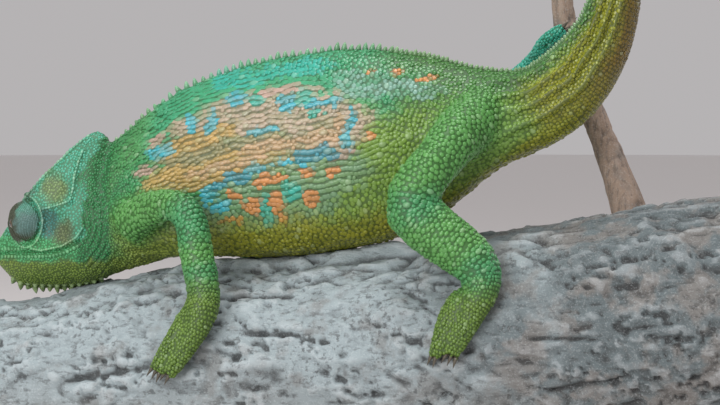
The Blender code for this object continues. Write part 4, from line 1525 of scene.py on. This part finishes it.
# Markings of a flank: colour, slope, how solid it is, and eggs of x, z, half length, half height.
BANDS = [
    ("olive_grey", 0.1, 0.9, [(-15.5, 84.5, 15.0, 6.0), (-3.5, 86.5, 6.5, 5.0)]),
    ("grey_teal", 0.1, 0.75, [(-13.0, 75.8, 12.5, 4.6), (-4.0, 79.5, 7.0, 3.6)]),
    ("beige", 0.06, 0.6, [(-12.5, 89.2, 12.0, 3.3), (-3.0, 87.4, 6.4, 3.6), (-24.0, 86.2, 5.0, 2.6)]),
    ("gold", 0.3, 0.9, [(-20.5, 80.4, 10.5, 2.2), (-28.5, 78.9, 5.0, 1.7), (-24.0, 84.4, 6.5, 1.7)]),
    ("pink", 0.2, 0.8, [
        (-33.3, 79.6, 2.4, 1.0), (-31.4, 84.4, 1.5, 0.9), (-13.0, 91.6, 7.0, 0.7), (-1.5, 83.0, 2.2, 0.8),
    ]),
    ("olive_grey", 0.2, 0.7, [(-23.5, 82.4, 5.5, 1.0), (-15.0, 84.4, 4.0, 0.9), (-4.5, 87.0, 2.6, 0.8)]),
    ("orange", 0.2, 0.85, [(-9.0, 84.6, 8.0, 1.3), (-2.0, 86.4, 1.9, 2.0), (-19.0, 81.0, 7.0, 0.7)]),
    ("blue", 0.1, 0.75, [
        (-30.4, 82.7, 2.6, 0.9), (-25.9, 87.1, 0.9, 1.8), (-22.5, 87.2, 1.1, 1.9), (-18.3, 90.8, 1.9, 1.4),
        (-10.5, 90.1, 1.4, 1.1), (-5.0, 90.4, 2.8, 0.8), (-0.4, 87.0, 0.9, 3.2), (-14.0, 86.1, 2.2, 0.8),
        (-20.0, 74.7, 1.9, 0.9), (-22.4, 76.6, 1.2, 1.8), (-14.5, 80.4, 2.4, 0.8), (-7.6, 81.4, 2.8, 0.7),
    ]),
    ("teal", 0.1, 0.8, [
        (-14.9, 90.6, 1.6, 1.0), (-9.0, 76.5, 1.6, 1.4), (-12.9, 73.6, 1.2, 2.6), (-7.6, 91.4, 1.5, 1.4),
        (-19.0, 94.0, 4.0, 1.4), (-10.0, 95.5, 7.0, 1.2), (-6.0, 88.6, 1.6, 0.6),
    ]),
    ("rear_teal", 0.0, 0.35, [(1.6, 93.4, 4.4, 2.3), (9.0, 92.6, 6.0, 1.2)]),
    ("deep_blue", 0.16, 0.95, [(-4.9, 83.0, 3.1, 1.3), (-17.6, 79.2, 2.4, 1.1), (-20.6, 77.6, 1.8, 0.9)]),
    ("rust", 0.05, 1.0, [
        (-18.2, 76.4, 1.5, 0.8), (-15.2, 75.0, 1.5, 1.7), (-11.3, 75.2, 1.1, 1.6), (-11.9, 78.8, 2.8, 1.0),
        (-6.7, 80.0, 1.2, 1.1), (-6.6, 75.8, 1.2, 1.3), (-18.8, 72.3, 1.8, 0.6), (3.2, 85.2, 0.6, 0.8),
        (2.5, 95.4, 1.0, 0.5), (6.4, 95.2, 1.2, 0.6), (10.8, 94.5, 1.6, 0.6), (-2.6, 80.4, 1.2, 0.7),
        (-10.4, 72.6, 0.8, 1.0),
    ]),
]


class ChameleonSizes(bpy.types.PropertyGroup):
    """Sizes that a user may change."""

    coat_depth: bpy.props.FloatProperty(
        name="Coat depth",
        description="How far the skin lies inside the outline, to leave room for the scales",
        default=0.18 * MM,
        min=0.0,
        unit="LENGTH",
    )
    lens: bpy.props.FloatProperty(
        name="Lens", description="Focal length of the studio camera in millimetres", default=96.8, min=20.0
    )


def shade(name, description, colour):
    return bpy.props.FloatVectorProperty(
        name=name, description=description, default=colour, size=3, min=0.0, max=1.0, subtype="COLOR"
    )


class ChameleonColours(bpy.types.PropertyGroup):
    """Colours that a user may change."""

    back: shade("Back", "Green of the back", (0.04, 0.155, 0.022))
    # Painted sky reflection: the blue-green laid along the top of the front of the back.
    back_sky_reflection: shade("Back teal", "Blue-green of the upper back", (0.033, 0.26, 0.125))
    neck: shade("Neck", "Green of the neck and shoulder", (0.026, 0.2, 0.064))
    flank: shade("Flank", "Green of the rear flank", (0.125, 0.23, 0.026))
    belly: shade("Belly", "Olive of the belly", (0.19, 0.2, 0.01))
    beige: shade("Beige", "Pinkish beige of the upper flank", (0.365, 0.285, 0.21))
    gold: shade("Gold", "Gold of the lower flank", (0.39, 0.255, 0.08))
    olive_grey: shade("Olive grey", "Dull rows between the gold ones", (0.235, 0.215, 0.108))
    orange: shade("Orange", "Orange of the middle flank", (0.39, 0.255, 0.14))
    rear_teal: shade("Rear teal", "Grey teal over the loin", (0.17, 0.32, 0.26))
    grey_teal: shade("Grey teal", "Dull green between the low spots", (0.12, 0.23, 0.12))
    pink: shade("Pink", "Pinkish rows at the mosaic's edge", (0.36, 0.25, 0.2))
    bright_rust: shade("Bright rust", "Orange middle of the low spots", (0.48, 0.195, 0.055))
    rust: shade("Rust", "Red-orange spots of the low flank", (0.32, 0.115, 0.038))
    blue: shade("Blue", "Light blue patches", (0.032, 0.335, 0.42))
    deep_blue: shade("Deep blue", "Stronger blue patches", (0.034, 0.215, 0.27))
    # Blue-green of the flank patches, also laid on the raised far shin as painted sky reflection.
    teal: shade("Teal", "Blue-green patches", (0.022, 0.32, 0.25))
    limb: shade("Limb", "Green of the legs", (0.078, 0.25, 0.056))
    # Painted sky reflection: blue-green laid round the elbows, wrists, knees and ankles.
    joint_sky_reflection: shade("Limb teal", "Blue-green at the knees and elbows", (0.03, 0.21, 0.088))
    foot: shade("Foot", "Yellow-green of the feet", (0.092, 0.168, 0.018))
    tail: shade("Tail", "Olive of the tail", (0.19, 0.2, 0.006))
    tail_under: shade("Tail underside", "Brown olive under the tail", (0.12, 0.078, 0.003))
    # Blue-green of the casque, partly painted sky reflection on the upper head.
    casque: shade("Casque", "Blue-green of the casque", (0.062, 0.315, 0.21))
    temple: shade("Temple", "Yellow olive of the temple", (0.15, 0.23, 0.09))
    loin: shade("Loin", "Yellowish green at the root of the tail", (0.15, 0.28, 0.055))
    neck_under: shade("Neck underside", "Olive below the neck", (0.19, 0.25, 0.038))
    lip: shade("Lip", "Bright green along the mouth", (0.07, 0.33, 0.13))
    nape: shade("Nape", "Bright green on the ridge behind the head", (0.09, 0.26, 0.07))
    temple_brown: shade("Temple brown", "Olive hollow over the jaw", (0.105, 0.12, 0.045))
    temple_blue: shade("Temple blue", "Blue-green behind the eye", (0.035, 0.16, 0.14))
    turret: shade("Turret", "Blue-grey of the eye turrets", (0.1, 0.19, 0.18))
    # Dark olive of the lids round the eye's opening, also laid as painted shade under each turret.
    lid: shade("Lid", "Dark olive round the eye's opening", (0.045, 0.055, 0.03))
    throat: shade("Throat", "Olive of the throat", (0.12, 0.19, 0.025))
    # Pale of spine tips, lobes, crests and large scales: partly their own colour, partly painted
    # highlight.
    pale: shade("Pale", "Pale tips and round scales", (0.42, 0.55, 0.36))
    bark: shade("Bark", "Grey of the weathered branch", (0.28, 0.33, 0.345))
    # Near-black of the dark grain and specks, and painted shade in the cracks and hollows of the branch
    # and twig.
    bark_dark_and_crack_shade: shade("Bark cracks", "Brown in the branch's cracks", (0.04, 0.04, 0.04))
    # Brown of the patches on the branch, also painted shade over its lower side.
    bark_warm_and_low_shade: shade("Bark warm", "Brown patches on the branch", (0.16, 0.15, 0.14))
    # Dull dark grey laid over the rear stretch of the branch.
    bark_rear: shade("Bark worn", "Dull grey of the branch's rear", (0.095, 0.115, 0.12))
    twig: shade("Twig", "Pinkish brown of the twig", (0.3, 0.22, 0.17))


def palette():
    chosen = bpy.context.scene.chameleon_colours
    names = ChameleonColours.__annotations__
    return SimpleNamespace(**{name: tuple(getattr(chosen, name)) for name in names})


def knee_points():
    """Elbows, wrists, knees and ankles."""
    bends = (("upper", "lower"), ("lower", "outer_toes"))
    return [joint_of(f"{leg}_{part}", f"{leg}_{other}") for leg in LEGS for part, other in bends]


def hide_spot(g):
    """A point of the hide as the rules of colour see it: its ragged place, its traits and noises."""
    root = g.attribute("root", "Vector")
    ragged, drift = (
        g.scaled(g.vector("SUBTRACT", g.noise(root, size, 1.0, output="Color"), (0.5, 0.5, 0.5)), reach)
        for size, reach in ((1.3, 2.0), (6.0, 3.0))
    )
    spot = g.vector("ADD", root, g.vector("ADD", ragged, drift))
    x, y, z = g.axes(spot)
    traits = {name: g.attribute(name) for name in (*TRAITS, "tone")}
    large, fine = g.noise(root, 9.0, 2.0), g.noise(root, 1.1, 1.0)
    low = traits["under"] + (large - 0.5) * 0.22 + (fine - 0.5) * 0.12
    return SimpleNamespace(root=root, spot=spot, x=x, y=y, z=z, large=large, fine=fine, low=low, **traits)


def band_mask(g, at, slope, eggs):
    """1 inside any of a band's eggs, sheared by its slope, with scattered edges."""
    sheared = g.combine(at.x, at.z - at.x * slope, 0.0)
    scatter = (at.tone - 0.5) * 0.35 + (at.fine - 0.5) * 0.5
    return g.largest(
        g.smooth(g.egg(sheared, x, z - x * slope, *halves) + scatter, 1.15, 0.85) for x, z, *halves in eggs
    )


def body_colour(g, at, c):
    """Green trunk with a mosaic of bands on each flank, a plain neck and an olive belly."""
    x, z, large, fine, tone = at.x, at.z, at.large, at.fine, at.tone
    body = g.mix(g.smooth(x, -30, -4), c.neck, c.flank)
    # Painted sky reflection: the top of the back, towards the front, turns blue-green.
    rearward = g.smooth(x + (large - 0.5) * 30, -6, 12)
    top = g.mix(g.smooth(x, -38, -29), c.nape, g.mix(rearward, c.back_sky_reflection, c.back))
    body = g.mix(g.smooth(at.low, 0.4, 0.2), body, top)
    strings = g.noise(g.combine(x * 0.16, (z - x * 0.16) * 1.5, at.y * 0.3), 1.0, 2.0)
    masks = [band_mask(g, at, slope, eggs) for _, slope, _, eggs in BANDS]
    for mask, (name, _, solid, _) in zip(masks, BANDS):
        colour = getattr(c, name)
        if solid < 1:
            mask = mask * (solid + g.smooth(strings + (tone - 0.5) * 0.12, 0.44, 0.56) * (1 - solid))
        else:
            colour = g.mix(mask**2, colour, c.bright_rust)
        body = g.mix(mask * 0.94, body, colour)
    mottle = masks[0] * g.smooth(g.noise(at.root, 0.8, 1.0) + (tone - 0.5) * 0.3, 0.5, 0.68)
    body = g.mix(mottle * 0.55, body, g.tinted(body, (0.5, 0.62, 0.58)))
    body = g.mix(g.smooth(x, 12, 22) * g.smooth(at.low, 0.25, 0.45) * 0.6, body, c.loin)
    neck_front = g.smooth(x - g.smooth(z, 76, 90) * 3.0 + (large - 0.5) * 4.0, -34.5, -40.0)
    body = g.mix(neck_front * 0.85, body, g.tinted(c.neck, (0.8, 0.85, 0.8)))
    under_body = g.mix(g.smooth(x, -32, -16), c.neck_under, c.belly)
    under_body = g.mix(neck_front * 0.8, under_body, c.throat)
    low_side = g.smooth(at.low, 0.72, 0.9)
    low_neck = g.smooth(z - float(SNOUT[2]) + (fine - 0.5) * 1.5, 1.6, -0.8)
    return g.mix(low_side + (low_neck - low_side) * neck_front, body, under_body)


def limb_colour(g, at, c):
    """Green legs with yellowish feet, and blue-green painted sky reflection at the joints and on the
    raised shin.
    """
    away = [g.vector("DISTANCE", at.spot, tuple(point), output=1) for point in knee_points()]
    knees = g.largest(g.smooth(distance, 5.5, 2.5) for distance in away)
    toe_level = max(box_mm(f"front_{side}_outer_toes")[1][2] for side in SIDES)
    (shin_x, _, shin_low), (_, _, shin_high) = (corner.tolist() for corner in box_mm("hind_right_lower"))
    raised = g.smooth(at.z, shin_low - 2, shin_high - 4) * g.smooth(at.x, shin_x - 4, shin_x)
    return g.over(
        c.limb,
        # Painted sky reflection round the elbows, wrists, knees and ankles.
        (knees * 0.75, c.joint_sky_reflection),
        (g.smooth(at.z, toe_level + 3, toe_level - 3), c.foot),
        # Painted sky reflection: the raised far shin turns blue-green.
        (raised * g.smooth(at.y, 0.0, 2.0) * 0.85, c.teal),
    )


def tail_colour(g, at, c):
    """Olive tail with light and dark streaks along it, brown below where it stands up."""
    tail = g.mix(g.smooth(at.low, 0.3, 0.1), c.tail, c.back)
    streak = g.noise(g.combine(at.under * 34.0, at.x * 0.12, at.z * 0.12), 1.0, 2.0)
    tail = g.mix(g.smooth(streak, 0.5, 0.66) * 0.6, tail, g.mix(0.35, tail, (0.5, 0.6, 0.14)))
    tail = g.mix(g.smooth(streak, 0.46, 0.32) * 0.5, tail, g.tinted(tail, (0.45, 0.45, 0.4)))
    return g.mix(g.smooth(at.low, 0.62, 0.85) * g.smooth(at.z, 86, 98), tail, c.tail_under)


def head_colour(g, at, c):
    """Blue-green head, its upper part partly painted sky reflection, with dark temples, dark lids and an
    olive throat, and turrets with painted light on top and painted shade below.
    """
    behind, height = at.x - float(SNOUT[0]), at.z - float(SNOUT[2])
    face = g.combine(behind, height, 0.0)

    def patch(*egg):
        return g.smooth(g.egg(face, *egg), 1.3, 0.45)

    behind_crest = g.smooth(behind - g.smooth(height, 13, 19) * 3.0, 16.1, 17.2)
    band = g.smooth(g.math("ABSOLUTE", behind - 17.2), 1.0, 0.4)
    head = g.over(
        # The head turns to the casque colour with height: partly its own blue-green, partly painted sky
        # reflection.
        g.mix(g.smooth(height, 1.0, 5.0), c.neck, c.casque),
        (behind_crest, g.tinted(c.neck, (0.82, 0.86, 0.82))),
        (band * g.smooth(height, 14, 10) * g.smooth(height, 2, 4) * 0.8, c.casque),
        (g.smooth(height, 3.6, 2.8) * g.smooth(behind, 17.5, 16.5) * 0.8, c.lip),
        (patch(12.6, 11.2, 2.2, 2.6), c.temple),
        (patch(11.8, 5.8, 1.7, 2.4), c.temple_blue),
        (patch(14.6, 4.4, 1.9, 2.7) * 0.9, c.temple_brown),
        (patch(8.2, 10.4, 1.6, 1.3) * 0.6, c.lid),
        (g.smooth(height, 0.0, -1.2), c.throat),
    )
    turret = g.over(
        c.turret,
        # Painted light: the turret's top turns paler toward the casque colour.
        (g.smooth(height, 6.6, 8.6), g.mix(0.5, c.turret, c.casque)),
        # Painted shade: the turret's lower part darkens to the lid colour.
        (g.smooth(height, 4.6, 3.0), c.lid),
        (g.smooth(behind + (at.fine - 0.5) * 1.5, 7.5, 6.3), c.lid),
    )
    return g.mix(at.turret, head, turret)


def hide_colour(g):
    """Colour of the skin, or of a scale from the place of its root, and what it follows."""
    at, c = hide_spot(g), palette()
    whole = g.over(
        body_colour(g, at, c),
        (at.tail, tail_colour(g, at, c)),
        (at.limb, limb_colour(g, at, c)),
        (g.smooth(at.head, 0.3, 0.7), head_colour(g, at, c)),
    )
    return whole, at


def skin_material():
    g = Graph("hide_skin", roughness=0.5, coat_weight=0.1, coat_roughness=0.3)
    colour, at = hide_colour(g)
    # The skin shows only in the gaps between scales, darkened there: partly its own darker colour, partly
    # painted shade.
    dark, darker = g.tinted(colour, (0.45, 0.52, 0.38)), g.tinted(colour, (0.3, 0.36, 0.24))
    grain = g.noise(g.place(), 0.35, 2.0)
    return g.finish(
        base_color=g.mix(at.fine * 0.5, dark, darker),
        roughness=0.42 + grain * 0.25,
        normal=g.bump(grain, 0.4, 0.08),
    )


def scale_material():
    """Glossy scales, darker at their bases as painted shade in the grooves between them, and paler on the
    pale ones, most at the tip: partly their own pale colour, partly painted highlight.
    """
    g = Graph(
        "hide_scales", roughness=0.4, specular_ior_level=0.35, coat_weight=0.38, coat_roughness=0.1
    )
    colour, at = hide_colour(g)
    pale, tip = g.attribute("pale"), g.attribute("tip")
    shaded = g.over(
        g.tinted(colour, g.mix(at.tone, (0.82, 0.86, 0.8), (1.24, 1.2, 1.22))),
        # Pale scales, paler towards the tip: partly their own pale colour, partly painted highlight.
        (pale * (0.25 + tip * 0.35), palette().pale),
        # Painted shade: each scale darkens towards its base, in the grooves between scales.
        ((1 - tip) * (0.42 - at.head * 0.27), g.tinted(colour, (0.35, 0.42, 0.28))),
    )
    grain = g.noise(g.place(), 0.14, 1.0)
    roughness = 0.3 + grain * 0.25 + at.tone * 0.06 + at.head * 0.16
    return g.finish(base_color=shaded, roughness=roughness, normal=g.bump(grain, 0.15, 0.03))


def eye_material():
    """A dark pupil in a narrow golden iris, under a wet surface."""
    g = Graph("wet_eye", roughness=0.12, coat_weight=1.0, coat_roughness=0.03)
    turn = g.attribute("turn")
    streaks = g.noise(g.place(), 0.16, 2.0)
    iris = g.mix(streaks, (0.035, 0.022, 0.012), (0.11, 0.07, 0.03))
    colour = g.mix(g.smooth(turn, 0.34, 0.4), (0.004, 0.004, 0.004), iris)
    return g.finish(base_color=g.mix(g.smooth(turn, 0.62, 0.85), colour, (0.03, 0.024, 0.016)))


def claw_material():
    """Dark horn, streaked."""
    g = Graph("horn_claw", roughness=0.35, coat_weight=0.3)
    streaks = g.noise(g.place(), 0.3, 2.0)
    return g.finish(base_color=g.mix(streaks, (0.03, 0.026, 0.018), (0.1, 0.085, 0.055)))


def bark_material(name, stretch, colours, rear_band=None):
    """Weathered wood: pale ridges, dark grain and painted shade in the hollows; with a rear band, also
    dark specks, a dull grey rear and painted shade on the lower side.
    """
    light, dark, warm = colours
    g = Graph(name, roughness=0.85, specular_ior_level=0.25)
    place = g.place()
    fibres = g.vector("MULTIPLY", place, stretch)
    x, _, z = g.axes(place)
    broad, patches = g.noise(place, 12.0, 3.0), g.noise(place, 5.0, 3.0, 0.6)
    grain, fine = g.noise(fibres, 0.8, 4.0, 0.65), g.noise(place, 0.28, 3.0, 0.6)
    colour = g.mix(g.smooth(patches, 0.5, 0.68), light, g.mix(0.55, light, warm))
    if rear_band:
        rear_colour, start, end = rear_band
        specks, zones = g.noise(place, 0.9, 3.0, 0.6), g.noise(place, 9.0, 2.0)
        rear_colour = g.mix(g.smooth(patches, 0.45, 0.6), rear_colour, warm)
        colour = g.over(
            colour,
            # The rear stretch of the branch turns dull dark grey.
            (g.smooth(x + (broad - 0.5) * 50, start, end) * 0.9, rear_colour),
            # Painted shade: the lower side of the branch darkens toward the warm brown.
            (g.smooth(z + (broad - 0.5) * 20, 52, 38) * 0.5, warm),
            (g.smooth(specks, 0.53, 0.66) * g.smooth(zones, 0.4, 0.6) * 0.6, dark),
        )
    hollow = g.attribute("hollow")
    # Painted shade: cracks, pits and hollows, where the surface sinks below its surroundings, darken to
    # near-black.
    colour = g.mix(g.smooth(hollow, -0.1, 1.0) * 0.8, colour, dark)
    colour = g.mix(g.smooth(hollow, -0.1, -0.7) * 0.35, colour, g.mix(0.5, colour, BLEACHED))
    colour = g.mix(g.smooth(grain, 0.47, 0.34) * 0.45, colour, dark)
    colour = g.mix(g.smooth(fine, 0.5, 0.7) * 0.3, colour, g.mix(0.5, colour, BLEACHED))
    height = grain * 0.7 + fine * 0.3
    return g.finish(base_color=colour, roughness=0.72 + fine * 0.25, normal=g.bump(height, 0.9, 0.35))


def wood_material():
    """Dark polished wood with long grain."""
    g = Graph("walnut", roughness=0.35, coat_weight=0.35, coat_roughness=0.15)
    place = g.place()
    drift = g.noise(place, 30.0, 1.0)
    x, y, z = g.axes(place)
    rings = g.noise(g.combine(x * 0.03, y + drift * 14, z), 2.4, 3.0)
    pores = g.noise(g.combine(x * 0.06, y, z), 0.4, 2.0)
    colour = g.mix(g.smooth(rings, 0.35, 0.65), (0.06, 0.028, 0.014), (0.16, 0.08, 0.038))
    colour = g.mix(g.smooth(pores, 0.58, 0.72) * 0.6, colour, (0.02, 0.01, 0.006))
    return g.finish(base_color=colour, roughness=0.3 + pores * 0.15, normal=g.bump(pores, 0.2, 0.1))


def steel_material():
    """Brushed steel."""
    g = Graph("brushed_steel", roughness=0.3, metallic=1.0)
    x, y, z = g.axes(g.place())
    brushed = g.noise(g.combine(x * 0.3, y * 0.3, z * 8.0), 0.6, 2.0)
    colour = g.mix(brushed, (0.42, 0.43, 0.45), (0.58, 0.58, 0.6))
    return g.finish(base_color=colour, roughness=0.24 + brushed * 0.16, normal=g.bump(brushed, 0.1, 0.03))


# ---------------------------------------------------------------- operators
class CHAMELEON_OT_skin(bpy.types.Operator):
    """Make one skin from all the flesh solids"""

    bl_idname = "chameleon.skin"
    bl_label = "Skin"

    def execute(self, context):
        finish_piece(build_skin(), skin_material(), "back_skin", *FLESH)
        return {"FINISHED"}


class CHAMELEON_OT_scales(bpy.types.Operator):
    """Cover the skin with scales, crests and spines"""

    bl_idname = "chameleon.scales"
    bl_label = "Scales"

    def execute(self, context):
        if "skin" not in HIDE:
            raise RuntimeError("make the skin before its scales")
        hide = HIDE["skin"]
        rng = random.Random(COAT_SEED)
        coat = Coat(hide, rng)
        lay_crest(coat)
        lay_head_lines(coat)
        for side in SIDES:
            lay_turret(coat, side)
        lay_rows(coat, *hide.tubes["spine"], rng)
        for leg in LEGS:
            for suffix in ("", "_inner"):
                lay_rows(coat, *hide.tubes[leg + suffix], rng)
        fill_gaps(coat, rng)
        material = scale_material()
        slots = {"head": "head_skin", "legs": "limb_skin", "tail": "belly_skin"}
        for name, scales, profile, sides in coat_pieces(coat):
            obj = raised_shapes(name, scales, profile, sides)
            finish_piece(obj, material, slots.get(name.rsplit("_", 1)[1], "back_skin"))
        return {"FINISHED"}


class CHAMELEON_OT_eyes(bpy.types.Operator):
    """Set an eye in each turret"""

    bl_idname = "chameleon.eyes"
    bl_label = "Eyes"

    def execute(self, context):
        material = eye_material()
        for side in SIDES:
            finish_piece(make_eye(side), material, "eye", f"eye_{side}")
        return {"FINISHED"}


class CHAMELEON_OT_claws(bpy.types.Operator):
    """Put a hooked claw on every toe"""

    bl_idname = "chameleon.claws"
    bl_label = "Claws"

    def execute(self, context):
        material = claw_material()
        for leg in LEGS:
            for number in range(1, 6):
                finish_piece(make_claw(leg, number), material, "claw", f"{leg}_claw_{number}")
        return {"FINISHED"}


class CHAMELEON_OT_perch(bpy.types.Operator):
    """Make the weathered branch and the twig"""

    bl_idname = "chameleon.perch"
    bl_label = "Perch"

    def execute(self, context):
        c = palette()
        shades = (c.bark, c.bark_dark_and_crack_shade, c.bark_warm_and_low_shade)
        bark = bark_material("old_bark", (0.4, 1.0, 1.0), shades, (c.bark_rear, 8, 34))
        finish_piece(make_branch(), bark, "bark", "perch_branch")
        bark = bark_material("twig_bark", (1.0, 1.0, 0.2), (c.twig, c.bark_dark_and_crack_shade, c.bark_warm_and_low_shade))
        finish_piece(make_twig(), bark, "bark", "perch_twig")
        return {"FINISHED"}


class CHAMELEON_OT_stand(bpy.types.Operator):
    """Make the wooden base and the steel rods"""

    bl_idname = "chameleon.stand"
    bl_label = "Stand"

    def execute(self, context):
        finish_piece(make_base(), wood_material(), "base_wood", "stand_base")
        steel = steel_material()
        for end in ("front", "rear"):
            finish_piece(make_rod(end), steel, "rod_steel", f"stand_rod_{end}")
        return {"FINISHED"}


class CHAMELEON_OT_stage(bpy.types.Operator):
    """Add a pale floor, soft lamps and the camera"""

    bl_idname = "chameleon.stage"
    bl_label = "Studio"

    def execute(self, context):
        floor = new_primitive("circle", "floor", vertices=64, radius=FLOOR_RADIUS, fill_type="NGON")
        g = Graph("floor", roughness=0.8)
        g.finish(base_color=g.mix(g.noise(g.place(), 4.0, 3.0), (0.8, 0.77, 0.76), (0.84, 0.81, 0.8)))
        floor.data.materials.append(g.material)
        world = bpy.data.worlds.new("studio")
        world.use_nodes = True
        background = world.node_tree.nodes["Background"].inputs
        background["Color"].default_value = (0.93, 0.9, 0.91, 1)
        background["Strength"].default_value = 0.5
        context.scene.world = world
        target = Vector(LAMP_AIM)
        for name, place, size, power in LAMPS:
            lamp = bpy.data.lights.new(name, "AREA")
            lamp.size, lamp.energy = size, power
            obj = new_object(name, lamp)
            obj.location = place
            obj.rotation_euler = (target - Vector(place)).to_track_quat("-Z", "Y").to_euler()
        camera = bpy.data.cameras.new("camera")
        camera.lens, camera.sensor_width = context.scene.chameleon_sizes.lens, 36.0
        camera.clip_start = 0.01
        azimuth, elevation = math.radians(CAMERA_AZIMUTH), math.radians(CAMERA_ELEVATION)
        back = Vector((math.sin(azimuth), -math.cos(azimuth), math.tan(elevation))) * math.cos(elevation)
        obj = new_object("camera", camera)
        obj.location = Vector(CAMERA_AIM) + back * CAMERA_DISTANCE
        obj.rotation_euler = (-back).to_track_quat("-Z", "Y").to_euler()
        context.scene.camera = obj
        context.scene.view_settings.view_transform = "Standard"
        return {"FINISHED"}


class CHAMELEON_PT_panel(bpy.types.Panel):
    """Lists the steps and the sizes and colours they use"""

    bl_idname = "CHAMELEON_PT_panel"
    bl_label = "Chameleon"
    bl_space_type = "VIEW_3D"
    bl_region_type = "UI"
    bl_category = "Chameleon"

    def draw(self, context):
        for step in STEPS:
            self.layout.operator(step.bl_idname)
        for group in (context.scene.chameleon_sizes, context.scene.chameleon_colours):
            for name in type(group).__annotations__:
                self.layout.prop(group, name)


STEPS = (
    CHAMELEON_OT_stage,
    CHAMELEON_OT_stand,
    CHAMELEON_OT_perch,
    CHAMELEON_OT_skin,
    CHAMELEON_OT_scales,
    CHAMELEON_OT_eyes,
    CHAMELEON_OT_claws,
)
CLASSES = (ChameleonSizes, ChameleonColours, *STEPS, CHAMELEON_PT_panel)


def register():
    for cls in CLASSES:
        bpy.utils.register_class(cls)
    bpy.types.Scene.chameleon_sizes = bpy.props.PointerProperty(type=ChameleonSizes)
    bpy.types.Scene.chameleon_colours = bpy.props.PointerProperty(type=ChameleonColours)


def unregister():
    del bpy.types.Scene.chameleon_colours
    del bpy.types.Scene.chameleon_sizes
    for cls in reversed(CLASSES):
        bpy.utils.unregister_class(cls)


def main():
    register()
    for step in ("stage", "stand", "perch", "skin", "scales", "eyes", "claws"):
        getattr(bpy.ops.chameleon, step)()


if __name__ == "__main__":
    main()
